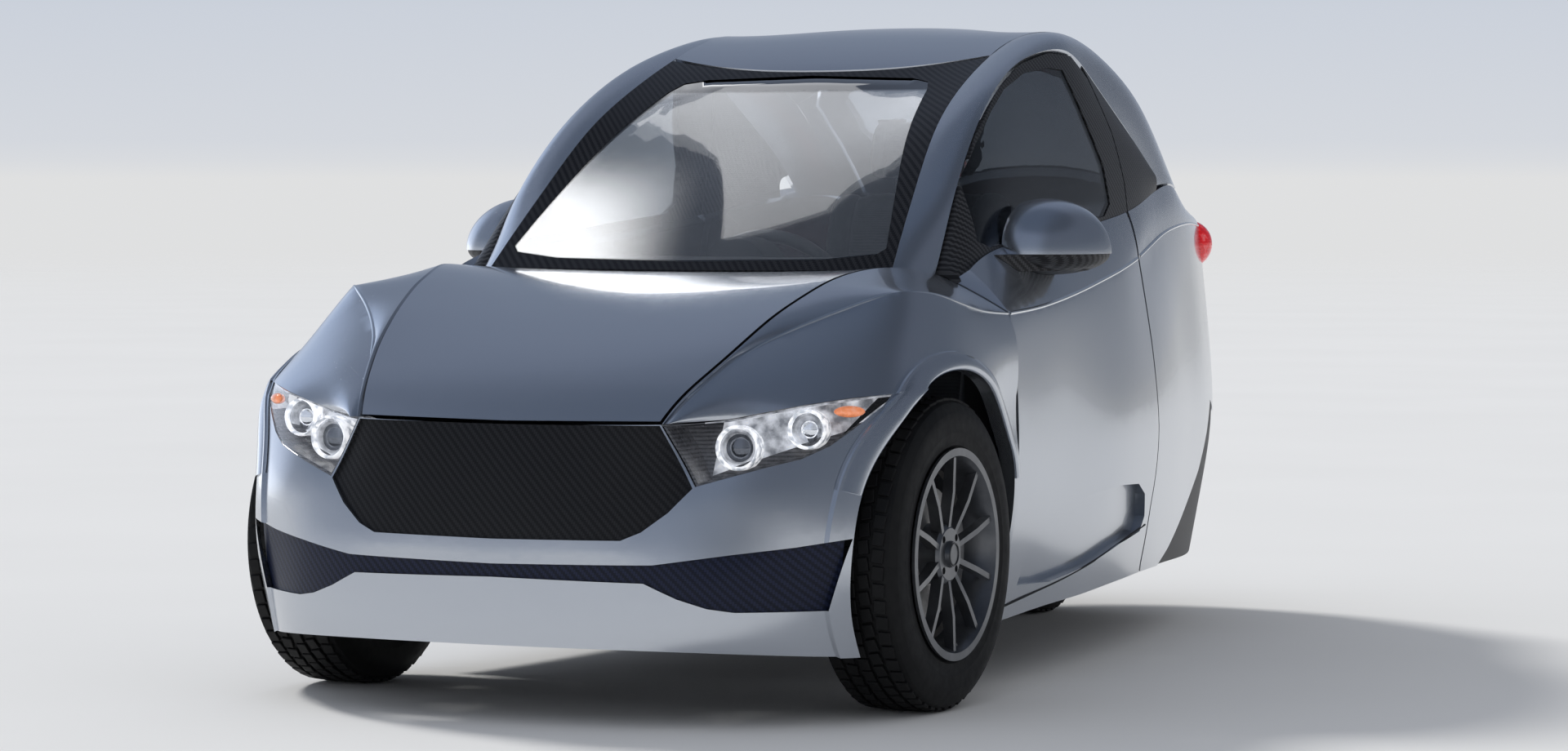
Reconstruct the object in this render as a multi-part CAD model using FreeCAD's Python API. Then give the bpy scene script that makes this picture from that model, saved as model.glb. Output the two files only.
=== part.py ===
import FreeCAD, Part
import math
import os

from FreeCAD import Vector

# Single seat electric car on three wheels. Millimetres, +Z up, nose towards -Y,
# the driver's left is +X, the ground is Z = 0.

# Wheels
WHEEL_BASE = 2030.0
FRONT_AXLE_Y = -1004.0
FRONT_TRACK = 1236.0
TYRE_RADIUS = 302.0
TYRE_WIDTH = 176.0
TREAD_WIDTH = 150.0
RIM_SEAT_RADIUS = 190.5
RIM_LIP = 13.0
RIM_WALL = 6.0
SPOKE_COUNT = 10
SPOKE_WIDTH = 11.0
HUB_RADIUS = 58.0
HUB_BORE = 28.0
LUG_COUNT = 4
LUG_CIRCLE = 84.0
LUG_RADIUS = 7.0
CAP_RADIUS = 24.0

# Running clearances
SHAFT_CLEARANCE = 0.06
SEAT_GAP = 0.3
PANEL_GAP = 0.4
SHUT_GAP = 6.0
HOOD_GAP = 8.0
SWING_GAP = 6.0

# Body shell
PANEL_DEPTH = 22.0
BUMPER_DEPTH = 26.0
ROOF_DEPTH = 30.0
RAIL_DEPTH = 34.0
DOOR_DEPTH = 44.0
QUARTER_DEPTH = 30.0
SCOOP_DEPTH = 22.0
GLASS_DEPTH = 5.0
FRAME_DEPTH = 18.0
GRILLE_RECESS = 7.0
GRILLE_DEPTH = 14.0
LAMP_DEPTH = 70.0
LAMP_WALL = 4.0
ARCH_RADIUS = 340.0
ARCH_RISE = 13.0
FLARE_WIDTH = 34.0
FLARE_PROUD = 7.0

# Joints
DOOR_FRONT = -640.0
DOOR_AXIS_X = 658.0
DOOR_AXIS_Y = -621.0
HOOD_AXIS_Y = -787.0
HOOD_AXIS_Z = 826.0
TAILGATE_AXIS_Y = 652.0
TAILGATE_AXIS_Z = 1320.0
KINGPIN_INSET = 62.0
PIN_RADIUS = 9.0
HINGE_RADIUS = 4.5
HINGE_PIN = 2.0
HINGE_LENGTH = 16.0
HOOD_HINGE_X = (-300.0, 300.0)
TAILGATE_HINGE_X = (-110.0, 110.0)
DOOR_HINGE_UP = (390.0, 600.0)
DOOR_HINGE_HEIGHT = 46.0
DOOR_PIN_RADIUS = 6.0
DOOR_EYE_RADIUS = 11.0

# Lamps and mirrors
LAMP_RADIUS = 56.0
TAIL_LAMP_CENTRE = Vector(318, 1284, 864)
MIRROR_CENTRE = Vector(600, -290, 866)
MIRROR_HALF_WIDTH = 135.0
MIRROR_HALF_LENGTH = 150.0
MIRROR_HEIGHT = 112.0
MIRROR_INNER_X = 557.0
MIRROR_TRAY = 44.0
MIRROR_BACK_Y = -268.0

# Structure and interior
FLOOR_UP = 192.0
FLOOR_THICKNESS = 14.0
FLOOR_FRONT = -612.0
FLOOR_REAR = 552.0
WALL = 14.0
DECK_UP = 630.0
TOWER_OUT = 330.0
ARM_LOW = 166.0
ARM_HIGH = 428.0
DISC_RADIUS = 128.0
DISC_THICKNESS = 10.0
DISC_IN = 22.0
MOTOR_RADIUS = 72.0
MOTOR_LENGTH = 200.0
MOTOR_UP = 400.0
BATTERY_WIDTH = 560.0
BATTERY_FRONT = -150.0
BATTERY_REAR = 500.0
BATTERY_TOP = 344.7
STEERING_Y = -300.0
STEERING_Z = 742.0
STEERING_LEAN = 24.0
STEERING_RADIUS = 172.0
COLUMN_RADIUS = 26.0
COLUMN_LENGTH = 190.0

REAR_AXLE_Y = FRONT_AXLE_Y + WHEEL_BASE
WHEEL_X = FRONT_TRACK / 2
AXLE_Z = TYRE_RADIUS
KINGPIN_X = WHEEL_X - KINGPIN_INSET

# The middle of the body shell. Every wall has its thickness towards this line.
SPINE_FRONT = Vector(0, -900, 480)
SPINE_REAR = Vector(0, 900, 560)

# Feature curves of the left side, as (out, along, up), nose first.
HOOD_CREASE = [
    (320, -1492, 564), (343, -1436, 618), (366, -1372, 660), (388, -1300, 703),
    (408, -1212, 750), (424, -1138, 782), (438, -1070, 807), (448, -1012, 824),
    (463, -950, 837), (485, -875, 845), (503, -795, 843), (511, -720, 835), (512, -646, 826),
]
FENDER_CREASE = [
    (326, -1489, 563), (349, -1432, 613), (373, -1368, 655), (398, -1305, 690),
    (455, -1210, 733), (520, -1125, 769), (580, -1060, 797), (618, -1010, 803),
    (641, -950, 797), (654, -880, 781), (661, -800, 764), (664, -725, 756), (663, -646, 753),
]
FENDER_EDGE = [
    (336, -1486, 564), (425, -1418, 572), (495, -1384, 586), (560, -1346, 600),
    (622, -1291, 611), (682, -1212, 619), (703, -1120, 624), (712, -1010, 626),
    (711, -935, 622), (705, -865, 614), (696, -795, 604), (687, -722, 596), (681, -646, 590),
]
HOOD_LINE = [
    (-1510, 560), (-1455, 611), (-1390, 655), (-1310, 698), (-1225, 736), (-1150, 764),
    (-1080, 785), (-1020, 799), (-955, 811), (-880, 822), (-797, 832),
]
MASK_ROWS = [
    [(0, -1558, 148), (160, -1553, 148), (305, -1533, 147), (430, -1483, 143),
     (530, -1412, 137), (609, -1322, 131), (648, -1232, 130), (664, -1150, 130)],
    [(0, -1560, 212), (160, -1555, 212), (310, -1536, 212), (440, -1488, 212),
     (545, -1415, 212), (628, -1325, 212), (672, -1235, 212), (690, -1150, 212)],
    [(0, -1559, 295), (160, -1554, 296), (315, -1533, 302), (455, -1478, 315),
     (562, -1408, 325), (648, -1328, 330), (692, -1235, 330), (708, -1150, 330)],
    [(0, -1555, 355), (150, -1551, 357), (295, -1531, 368), (420, -1484, 400),
     (535, -1420, 430), (643, -1322, 450), (698, -1230, 455), (714, -1145, 455)],
    [(0, -1538, 450), (150, -1533, 451), (300, -1514, 455), (400, -1474, 468),
     (510, -1412, 505), (640, -1300, 545), (698, -1218, 550), (716, -1130, 552)],
    [(0, -1510, 560), (165, -1506, 561), (320, -1492, 564), (425, -1418, 572),
     (548, -1353, 598), (622, -1291, 611), (682, -1212, 619), (708, -1115, 624)],
]
SHOULDER_TOP = [
    (578, -640, 838), (566, -500, 872), (556, -340, 888), (548, -160, 902), (541, 30, 915),
    (535, 200, 930), (526, 340, 945), (508, 480, 965), (474, 660, 992), (441, 850, 1000),
    (402, 1020, 955), (352, 1210, 932), (318, 1310, 915), (270, 1390, 902), (190, 1440, 891),
    (95, 1472, 883), (0, 1482, 880),
]
BELT_CREASE = [
    (663, -640, 753), (656, -500, 757), (645, -340, 770), (625, -160, 787), (601, 30, 808),
    (578, 200, 827), (553, 340, 845), (525, 480, 867), (492, 660, 899), (458, 850, 914),
    (416, 1040, 917), (366, 1215, 908), (330, 1318, 896), (280, 1402, 884), (198, 1458, 873),
    (100, 1490, 866), (0, 1500, 863),
]
UPPER_SIDE = [
    (678, -640, 650), (668, -500, 650), (658, -340, 655), (644, -160, 660), (625, 30, 665),
    (603, 200, 668), (580, 340, 670), (555, 480, 675), (518, 660, 680), (475, 850, 685),
    (432, 1045, 690), (385, 1215, 695), (350, 1325, 700), (302, 1420, 700), (218, 1492, 700),
    (112, 1532, 700), (0, 1545, 700),
]
WAIST = [
    (684, -640, 470), (675, -500, 470), (664, -340, 470), (655, -160, 470), (643, 30, 470),
    (622, 200, 470), (600, 340, 470), (573, 480, 470), (535, 660, 472), (490, 850, 478),
    (445, 1045, 485), (402, 1205, 495), (366, 1320, 505), (318, 1425, 510), (235, 1507, 512),
    (122, 1550, 513), (0, 1560, 513),
]
LOWER_SIDE = [
    (668, -640, 300), (660, -500, 300), (652, -340, 300), (642, -160, 300), (628, 30, 300),
    (606, 200, 300), (585, 340, 300), (560, 480, 300), (523, 660, 300), (480, 850, 302),
    (434, 1045, 308), (392, 1200, 330), (358, 1315, 372), (312, 1418, 400), (230, 1495, 408),
    (120, 1537, 410), (0, 1550, 410),
]
SILL = [
    (628, -640, 136), (620, -500, 141), (620, -340, 149), (616, -160, 154), (600, 30, 159),
    (580, 200, 162), (558, 340, 163), (535, 480, 162), (500, 660, 158), (462, 850, 153),
    (414, 1040, 150), (372, 1165, 175), (338, 1280, 255), (300, 1388, 300), (222, 1468, 318),
    (116, 1510, 322), (0, 1522, 322),
]
RAIL_INNER = [
    (452, -735, 838), (436, -640, 925), (420, -540, 1012), (400, -400, 1122), (383, -230, 1210),
    (373, -60, 1275), (372, 100, 1320), (384, 260, 1336), (402, 400, 1314), (417, 560, 1252),
    (422, 720, 1163), (421, 870, 1042), (419, 925, 998),
]
RAIL_OUTER = [
    (508, -668, 806), (506, -612, 885), (499, -535, 985), (483, -400, 1108), (464, -240, 1205),
    (452, -80, 1265), (449, 80, 1292), (449, 210, 1288), (450, 330, 1236), (451, 450, 1172),
    (452, 567, 1108), (453, 660, 1040), (453, 705, 1002),
]
SCREEN_LINE = [
    (-776, 836), (-660, 921), (-540, 1004), (-400, 1092), (-260, 1172), (-120, 1246),
]
SCREEN_EDGE_COUNT = 6
ROOF_LINE = [
    (-114, 1249), (0, 1298), (150, 1334), (300, 1350), (450, 1352), (560, 1342), (645, 1322),
]
ROOF_EDGE_PLACES = [5.08, 6, 7, 8, 8.6, 9.2, 9.5]
TAIL_EDGE = [
    (421, 652, 1205), (422, 720, 1163), (422, 800, 1102), (421, 870, 1042), (420, 935, 981),
    (402, 1020, 955), (380, 1110, 944), (352, 1210, 932), (318, 1310, 915), (270, 1390, 902),
]
TAIL_LINE = [
    (655, 1318), (760, 1276), (860, 1224), (960, 1162), (1060, 1095), (1150, 1028),
    (1230, 972), (1310, 934), (1390, 906), (1482, 880),
]

# Outlines seen from the front, as (out, up).
GRILLE_OUTLINE = [(0, 560), (320, 562), (385, 447), (346, 402), (300, 366), (262, 350), (0, 347)]
INTAKE_TOP = [(0, 301), (322, 306), (461, 326), (556, 338), (645, 353)]
INTAKE_BOTTOM = [(606, 219), (465, 219), (420, 226), (367, 244), (307, 272), (0, 276)]
LAMP_TOP = [(322, 564), (425, 572), (548, 598), (622, 611), (684, 618)]
LAMP_BOTTOM = [(661, 590), (632, 556), (598, 523), (558, 500), (498, 483), (389, 450)]

# Outlines seen from the side, as (along, up).
DOOR_REAR = [(372, 120), (342, 183), (338, 308), (366, 480), (372, 663), (362, 805), (352, 1000)]
SCOOP_OUTLINE = [
    (-548, 205), (-530, 282), (-455, 328), (-330, 352), (-150, 366), (50, 372), (190, 366),
    (262, 340), (292, 290), (268, 258), (90, 243), (-115, 216), (-357, 198),
]
SIDE_GLASS_OUTLINE = [
    (-548, 893), (-500, 1018), (-400, 1092), (-300, 1154), (-201, 1204), (-78, 1240), (60, 1254),
    (128, 1250), (182, 1143), (239, 1045), (246, 965), (200, 938), (0, 922), (-250, 902), (-497, 880),
]
DIFFUSER_LINE = [(519, 100), (519, 153), (650, 192), (828, 268), (1009, 345), (1133, 425), (1215, 500),
                 (1320, 470), (1480, 455), (1620, 450)]


def points(values):
    return [Vector(*value) for value in values]


def flipped(curve):
    return [Vector(-p.x, p.y, p.z) for p in curve]


def shifted(curve, out=0.0, along=0.0, up=0.0):
    return [p + Vector(out, along, up) for p in curve]


def inward(p):
    """Direction from a point of the shell to the middle of the body."""
    spine = SPINE_REAR - SPINE_FRONT
    share = (p - SPINE_FRONT).dot(spine) / spine.dot(spine)
    share = min(1.0, max(0.0, share))
    direction = SPINE_FRONT + spine * share - p
    direction.normalize()
    return direction


def second_derivatives(curve):
    """Of the smooth cubic through evenly numbered points, level at its ends."""
    inner = len(curve) - 2
    if inner < 1:
        return [Vector(0, 0, 0)] * len(curve)
    pull = [(curve[i + 1] - curve[i] * 2 + curve[i - 1]) * 6 for i in range(1, inner + 1)]
    pivot = [4.0] * inner
    pivot[0] += 1.0
    pivot[-1] += 1.0
    for i in range(1, inner):
        factor = 1.0 / pivot[i - 1]
        pivot[i] -= factor
        pull[i] = pull[i] - pull[i - 1] * factor
    bend = [None] * inner
    bend[-1] = pull[-1] * (1.0 / pivot[-1])
    for i in range(inner - 2, -1, -1):
        bend[i] = (pull[i] - bend[i + 1]) * (1.0 / pivot[i])
    return [bend[0]] + bend + [bend[-1]]


def control_points(curve):
    """Control points of the cubic B-spline that passes through the curve's points."""
    bend = second_derivatives(curve)
    start = (curve[1] - curve[0]) - (bend[0] * 2 + bend[1]) * (1 / 6.0)
    end = (curve[-1] - curve[-2]) + (bend[-2] + bend[-1] * 2) * (1 / 6.0)
    middle = [curve[i] - bend[i] * (1 / 6.0) for i in range(1, len(curve) - 1)]
    first = [curve[0], curve[0] + start * (1 / 3.0)]
    last = [curve[-1] - end * (1 / 3.0), curve[-1]]
    return first + middle + last


def knot_vector(count):
    return [float(i) for i in range(count)], [4] + [1] * (count - 2) + [4]


def smooth_face(grid):
    """One face through every point of a grid of rows."""
    rows = [control_points(row) for row in grid]
    columns = [control_points(list(column)) for column in zip(*rows)]
    poles = [list(row) for row in zip(*columns)]
    row_knots, row_counts = knot_vector(len(grid))
    column_knots, column_counts = knot_vector(len(grid[0]))
    surface = Part.BSplineSurface()
    surface.buildFromPolesMultsKnots(
        poles, row_counts, column_counts, row_knots, column_knots, False, False, 3, 3)
    return surface.toShape()


def ruled_face(first, second):
    knots, counts = knot_vector(len(first))
    surface = Part.BSplineSurface()
    surface.buildFromPolesMultsKnots(
        [control_points(first), control_points(second)],
        [2, 2], counts, [0.0, 1.0], knots, False, False, 1, 3)
    return surface.toShape()


def shell_plate(strips, depth, start=0.0):
    """A wall of the body. Each strip is smooth, and neighbours meet in a crease."""
    faces = []
    outer = [[[p + inward(p) * start for p in row] for row in strip] for strip in strips]
    inner = [[[p + inward(p) * (start + depth) for p in row] for row in strip] for strip in strips]
    for above, below in zip(outer, inner):
        faces.append(smooth_face(above))
        faces.append(smooth_face(below))
        for end in (0, -1):
            faces.append(ruled_face([row[end] for row in above], [row[end] for row in below]))
    faces.append(ruled_face(outer[0][0], inner[0][0]))
    faces.append(ruled_face(outer[-1][-1], inner[-1][-1]))
    shell = Part.makeShell(faces)
    shell.sewShape(1e-4)
    solid = Part.makeSolid(shell)
    if solid.Volume < 0:
        solid.reverse()
    return solid


def between(first, second, share, bulge=0.0):
    """A row between two curves, pushed out from the spine by the bulge."""
    row = []
    for p, q in zip(first, second):
        middle = p + (q - p) * share
        row.append(middle - inward(middle) * (bulge * 4 * share * (1 - share)))
    return row


def curve_at(curve, place):
    """A point on the smooth cubic through a curve, at a place counted in its points."""
    bend = second_derivatives(curve)
    i = min(int(place), len(curve) - 2)
    t = place - i
    a, b = 1 - t, t
    return (curve[i] * a + curve[i + 1] * b
            + bend[i] * ((a ** 3 - a) / 6.0) + bend[i + 1] * ((b ** 3 - b) / 6.0))


def crowned(line, edge, power, steps=3):
    """Rows across the car, from its left edge over the centre line to its right edge."""
    rows = []
    for step in range(-steps, steps + 1):
        share = step / steps
        row = []
        for (along, up), p in zip(line, edge):
            rise = abs(share) ** power
            row.append(Vector(-p.x * share, along + (p.y - along) * rise, up + (p.z - up) * rise))
        rows.append(row)
    return rows


def flat_outline(outline, place):
    """A closed wire of straight edges, each point placed by a function."""
    corners = [place(*p) for p in outline]
    return Part.makePolygon(corners + [corners[0]])


def from_front(outline, back=-900.0, front=-1700.0):
    wire = flat_outline(outline, lambda out, up: Vector(out, front, up))
    return Part.Face(wire).extrude(Vector(0, back - front, 0))


def from_side(outline, lean=0.0, inner=200.0, outer=900.0, skin=640.0):
    """A prism across the left side. With a lean its walls turn forwards as they go in."""
    def place(along, up):
        return Vector(outer, along + (outer - skin) * lean, up)
    wire = flat_outline(outline, place)
    return Part.Face(wire).extrude(Vector(inner - outer, (inner - outer) * lean, 0))


def from_above(outline, low=700.0, high=1500.0):
    wire = flat_outline(outline, lambda out, along: Vector(out, along, low))
    return Part.Face(wire).extrude(Vector(0, 0, high - low))


def both_sides(half):
    """Outline of both halves of the car from the left half, which starts and ends at the middle."""
    other = [(-out, rest) for out, rest in reversed(half)]
    return half + [p for p in other if p[0] != 0]


def grown(outline, amount):
    """The outline moved out by an amount on every side."""
    wire = flat_outline(outline, lambda a, b: Vector(a, b, 0))
    wire = wire.makeOffset2D(amount, 2)
    return [(v.Point.x, v.Point.y) for v in wire.OrderedVertexes]


def largest(shape):
    return max(shape.Solids, key=lambda solid: solid.Volume)


def solids_of(shapes):
    return Part.makeCompound([solid for shape in shapes for solid in shape.Solids])


def mirror(shape):
    return shape.mirror(Vector(0, 0, 0), Vector(1, 0, 0))


def pair(shape):
    return solids_of([shape, mirror(shape)])


def box(low, high):
    size = Vector(*high) - Vector(*low)
    return Part.makeBox(size.x, size.y, size.z, Vector(*low))


def rod(start, end, radius):
    start, end = Vector(*start), Vector(*end)
    return Part.makeCylinder(radius, (end - start).Length, start, end - start)


def fused(first, *others):
    return first.fuse(list(others)).removeSplitter()


def turned_about_x(profile, centre):
    """Revolve a closed (across, radius) profile about a line along X."""
    corners = [Vector(across, 0, radius) for across, radius in profile]
    face = Part.Face(Part.makePolygon(corners + [corners[0]]))
    solid = face.revolve(Vector(0, 0, 0), Vector(1, 0, 0), 360)
    solid = Part.makeSolid(solid.Shells[0]) if solid.ShapeType != "Solid" else solid
    if solid.Volume < 0:
        solid.reverse()
    solid.translate(centre)
    return solid


# Body shell

def side_rows():
    left = [points(curve) for curve in
            (SHOULDER_TOP, BELT_CREASE, UPPER_SIDE, WAIST, LOWER_SIDE, SILL)]
    return [row + flipped(row[:-1])[::-1] for row in left]


def side_plate(depth, start=0.0):
    """The whole side wall, from the front of one door round the tail to the other."""
    top, belt, upper, waist, lower, sill = side_rows()
    return shell_plate([[top, between(top, belt, 0.5, 4.0), belt], [belt, upper, waist, lower, sill]],
                       depth, start)


def mask_plate(depth, start=0.0):
    """The nose below the hood and lamps, from one wheel arch to the other."""
    rows = []
    for half in MASK_ROWS:
        row = points(half)
        rows.append(flipped(row[1:])[::-1] + row)
    return shell_plate([rows], depth, start)


def under_hood_line(gap):
    """Everything lower than the top edge of the nose, seen from the front."""
    top = [(0, 560)] + LAMP_TOP + [(706, 624), (760, 626)]
    half = [(out, up + gap) for out, up in top] + [(760, 40), (0, 40)]
    return from_front(both_sides(half), back=-1085.0)


def arch_hole():
    hole = Part.makeCylinder(ARCH_RADIUS, 500, Vector(380, FRONT_AXLE_Y, AXLE_Z + ARCH_RISE), Vector(1, 0, 0))
    return fused(hole, mirror(hole))


def flare_ring():
    centre = Vector(560, FRONT_AXLE_Y, AXLE_Z + ARCH_RISE)
    return Part.makeCylinder(ARCH_RADIUS + FLARE_WIDTH, 300, centre, Vector(1, 0, 0))


def grille_outline():
    return both_sides(GRILLE_OUTLINE)


def intake_outline():
    return both_sides(INTAKE_TOP + INTAKE_BOTTOM)


def lamp_outline():
    return LAMP_TOP + LAMP_BOTTOM


def bumper():
    shape = mask_plate(BUMPER_DEPTH)
    flare = mask_plate(BUMPER_DEPTH, -FLARE_PROUD).common(flare_ring().fuse(mirror(flare_ring())))
    shape = shape.fuse(flare)
    shape = shape.cut(from_front(grille_outline()))
    shape = shape.cut(from_front(intake_outline()))
    lamp = from_front(lamp_outline())
    shape = shape.cut([lamp, mirror(lamp), arch_hole()])
    return largest(shape)


def grille():
    shape = mask_plate(GRILLE_DEPTH, GRILLE_RECESS)
    return largest(shape.common(from_front(grown(grille_outline(), -PANEL_GAP))))


def intake():
    shape = mask_plate(GRILLE_DEPTH, GRILLE_RECESS)
    return largest(shape.common(from_front(grown(intake_outline(), -PANEL_GAP))).cut(arch_hole()))


def headlamp_lens():
    shape = mask_plate(LAMP_WALL, 1.0)
    return largest(shape.common(from_front(grown(lamp_outline(), -PANEL_GAP))).cut(arch_hole()))


def lamp_unit(x, y, z, radius):
    """A projector: round lens in a bezel ring, on a bowl that reaches back into the bucket."""
    axis = Vector(0.12, -1, 0.05)
    axis.normalize()
    centre = Vector(x, y, z)
    bowl = Part.makeCone(radius * 0.7, radius, 42, centre - axis * 42, axis)
    hollow = Part.makeCone(radius * 0.5, radius * 0.86, 32, centre - axis * 31, axis)
    ball = Part.makeSphere(radius * 0.62, centre - axis * 26)
    return fused(bowl.cut(hollow), ball)


def headlamp_bucket():
    outline = from_front(grown(lamp_outline(), -PANEL_GAP))
    start = 1.0 + LAMP_WALL + SEAT_GAP
    bucket = mask_plate(LAMP_DEPTH, start).common(outline)
    hollow = mask_plate(LAMP_DEPTH - LAMP_WALL, start - 1.0)
    hollow = hollow.common(from_front(grown(lamp_outline(), -PANEL_GAP - LAMP_WALL)))
    bucket = largest(bucket.cut([hollow, arch_hole()]))
    units = [lamp_unit(437, -1402, 519, 36.0), lamp_unit(545, -1328, 552, 32.0)]
    return bucket, units


def fender_plate(depth, start=0.0):
    """Front corner of the body, from the hood's crease over the wheel and down to the sill."""
    crease, belt, edge = points(HOOD_CREASE), points(FENDER_CREASE), points(FENDER_EDGE)
    crease = shifted(crease, HOOD_GAP / 2)
    middle, low = [], []
    for p in edge:
        back = max(0.0, min(1.0, (p.y + 1100.0) / 250.0))
        middle.append(Vector(p.x + 2 * back, p.y, p.z - 200 + 26 * back))
        low.append(Vector(p.x - 50 * back, p.y, p.z - 400 - 54 * back))
    strips = [
        [crease, between(crease, belt, 0.5, 3.0), belt],
        [belt, between(belt, edge, 0.35, 14.0), between(belt, edge, 0.7, 12.0), edge],
        [edge, between(edge, middle, 0.5, 2.0), middle, low],
    ]
    return shell_plate(strips, depth, start)


def fender(nose):
    shape = fender_plate(PANEL_DEPTH)
    flare = fender_plate(PANEL_DEPTH, -FLARE_PROUD).common(flare_ring())
    shape = shape.fuse(flare)
    shape = shape.cut([under_hood_line(PANEL_GAP * 2), arch_hole(), swing_room(0, 1), rail(), nose])
    return largest(shape)


def swing_room(inset, side):
    """What a door's front edge sweeps as it turns on its hinges: outwards for 1, inwards for -1."""
    back = DOOR_AXIS_Y - DOOR_FRONT
    profile = []
    for row in side_rows():
        reach = max(0.0, side * (row[0].x - inset - DOOR_AXIS_X))
        profile.append(Vector(math.hypot(reach, back) + SWING_GAP, 0, row[0].z))
    corners = [Vector(0, 0, profile[0].z + 40)] + [profile[0] + Vector(0, 0, 40)] + profile
    corners += [profile[-1] - Vector(0, 0, 40), Vector(0, 0, profile[-1].z - 40)]
    room = Part.Face(Part.makePolygon(corners + corners[:1])).revolve(Vector(0, 0, 0), Vector(0, 0, 1), 360)
    room.translate(Vector(DOOR_AXIS_X, DOOR_AXIS_Y, 0))
    return room


def hood():
    edge = shifted(points(HOOD_CREASE[:len(HOOD_LINE)]), -HOOD_GAP / 2)
    shape = shell_plate([crowned(HOOD_LINE, edge, 2.2)], PANEL_DEPTH)
    return largest(shape.cut(under_hood_line(SHUT_GAP)))


def screen_rows():
    edge = shifted(points(RAIL_INNER[:SCREEN_EDGE_COUNT]), -2 * PANEL_GAP)
    return [crowned(SCREEN_LINE, edge, 2.4)]


SCREEN_GLASS_OUTLINE = [(0, 852), (300, 857), (405, 868), (420, 880), (402, 935), (372, 1020),
                        (330, 1130), (300, 1205), (285, 1222), (240, 1230), (0, 1238)]


def windscreen():
    shape = shell_plate(screen_rows(), GLASS_DEPTH, 2.0)
    outline = grown(both_sides(SCREEN_GLASS_OUTLINE), -PANEL_GAP)
    return largest(shape.common(from_front(outline, back=300.0, front=-1000.0)))


def windscreen_frame():
    shape = shell_plate(screen_rows(), FRAME_DEPTH, 0.5)
    return largest(shape.cut(from_front(both_sides(SCREEN_GLASS_OUTLINE), back=300.0, front=-1000.0)))


def roof():
    edge = [curve_at(points(RAIL_INNER), place) for place in ROOF_EDGE_PLACES]
    edge = shifted(edge, -2 * PANEL_GAP)
    return shell_plate([crowned(ROOF_LINE, edge, 2.4)], ROOF_DEPTH)


def rail():
    outer, inner = points(RAIL_OUTER), points(RAIL_INNER)
    rows = [inner, between(inner, outer, 0.5, 11.0), outer]
    return shell_plate([rows], RAIL_DEPTH)


def tail_rows():
    return [crowned(TAIL_LINE, shifted(points(TAIL_EDGE), -2 * PANEL_GAP), 2.2)]


TAILGATE_OUTLINE = [(0, 660), (352, 660), (372, 690), (372, 940), (350, 1080), (300, 1230),
                    (250, 1330), (190, 1388), (95, 1425), (0, 1435)]
BACKLIGHT_OUTLINE = [(0, 715), (300, 708), (322, 730), (320, 900), (302, 1010), (275, 1085),
                     (240, 1110), (0, 1122)]


def tail_frame():
    shape = shell_plate(tail_rows(), PANEL_DEPTH)
    opening = from_above(grown(both_sides(TAILGATE_OUTLINE), SHUT_GAP))
    front = box((-360, 600, 900), (360, 668, 1500))
    return largest(shape.cut([opening, front, tail_lamp_hole(), side_plate(QUARTER_DEPTH)]))


def tailgate():
    shape = shell_plate(tail_rows(), PANEL_DEPTH)
    shape = shape.common(from_above(both_sides(TAILGATE_OUTLINE)))
    return largest(shape.cut(from_above(both_sides(BACKLIGHT_OUTLINE))))


def backlight():
    shape = shell_plate(tail_rows(), GLASS_DEPTH, 1.0)
    return largest(shape.common(from_above(grown(both_sides(BACKLIGHT_OUTLINE), -PANEL_GAP))))


def door_outline():
    """Below the windows, seen from the side, from the hinge end to the rear shut line."""
    return [(DOOR_FRONT - 10, 120)] + DOOR_REAR + [(DOOR_FRONT - 10, 1000)]


def door():
    shape = side_plate(DOOR_DEPTH).common(from_side(door_outline(), lean=0.14, skin=600.0))
    shape = shape.cut(from_side(SCOOP_OUTLINE).common(side_plate(SCOOP_DEPTH + 6.0, -6.0)))
    return largest(shape)


def quarter():
    shape = side_plate(QUARTER_DEPTH)
    front = [(-700, 0)] + [(along + SHUT_GAP, up) for along, up in DOOR_REAR] + [(-700, 1200)]
    shape = shape.cut(from_side(front))
    shape = shape.cut(from_side(DIFFUSER_LINE + [(1620, 0), (519, 0)], inner=-20.0, skin=450.0))
    shape = shape.common(box((0, 300, 0), (700, 1395, 1400)))
    return largest(shape.cut(tail_lamp_hole()))


def rear_bumper():
    shape = side_plate(QUARTER_DEPTH)
    shape = shape.common(box((-500, 1395 + 2 * PANEL_GAP, 300), (500, 1700, 1400)))
    low = from_side(DIFFUSER_LINE + [(1620, 0), (519, 0)], inner=-20.0, skin=450.0)
    return largest(shape.cut([low, mirror(low)]))


def diffuser():
    low = [(along, up - 0.8) for along, up in DIFFUSER_LINE]
    low = [(520, 100)] + low[1:] + [(1620, 0), (520, 0)]
    half = from_side(low, inner=-20.0, skin=450.0)
    shape = side_plate(QUARTER_DEPTH - 6.0, 4.0)
    return largest(shape.common(fused(half, mirror(half))))


# Greenhouse sides

def window_rows(gap):
    """From the roof rail's lower edge, less a gap, down to the shoulder of the door."""
    rail_edge = points(RAIL_OUTER[:12])
    top = [p + inward(p) * 1.0 for p in rail_edge]
    shoulder = points([
        (560, -640, 815), (566, -560, 858), (564, -490, 874), (556, -350, 888), (550, -200, 900),
        (544, -40, 911), (539, 110, 923), (533, 230, 934), (525, 350, 947), (510, 470, 965),
        (492, 570, 980), (473, 665, 993)])
    base = [p + inward(p) * 1.0 for p in shoulder]
    middle = between(top, base, 0.5, 14.0)
    top = [p + (q - p) * (gap / (q - p).Length) for p, q in zip(top, base)]
    return [[top, middle, base]]


FRAME_REAR = [(290, 1240), (350, 1120), (366, 1010), (358, 900)]


def door_frame_outline():
    """Inside the roof rail's lower edge, back to the line where the fixed trim starts."""
    rail_edge = [(along, up) for out, along, up in RAIL_OUTER[:8]]
    return rail_edge + FRAME_REAR + [(-668, 700)]


def window_plate(depth, start=0.0, gap=0.0):
    return shell_plate(window_rows(gap), depth, start)


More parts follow.
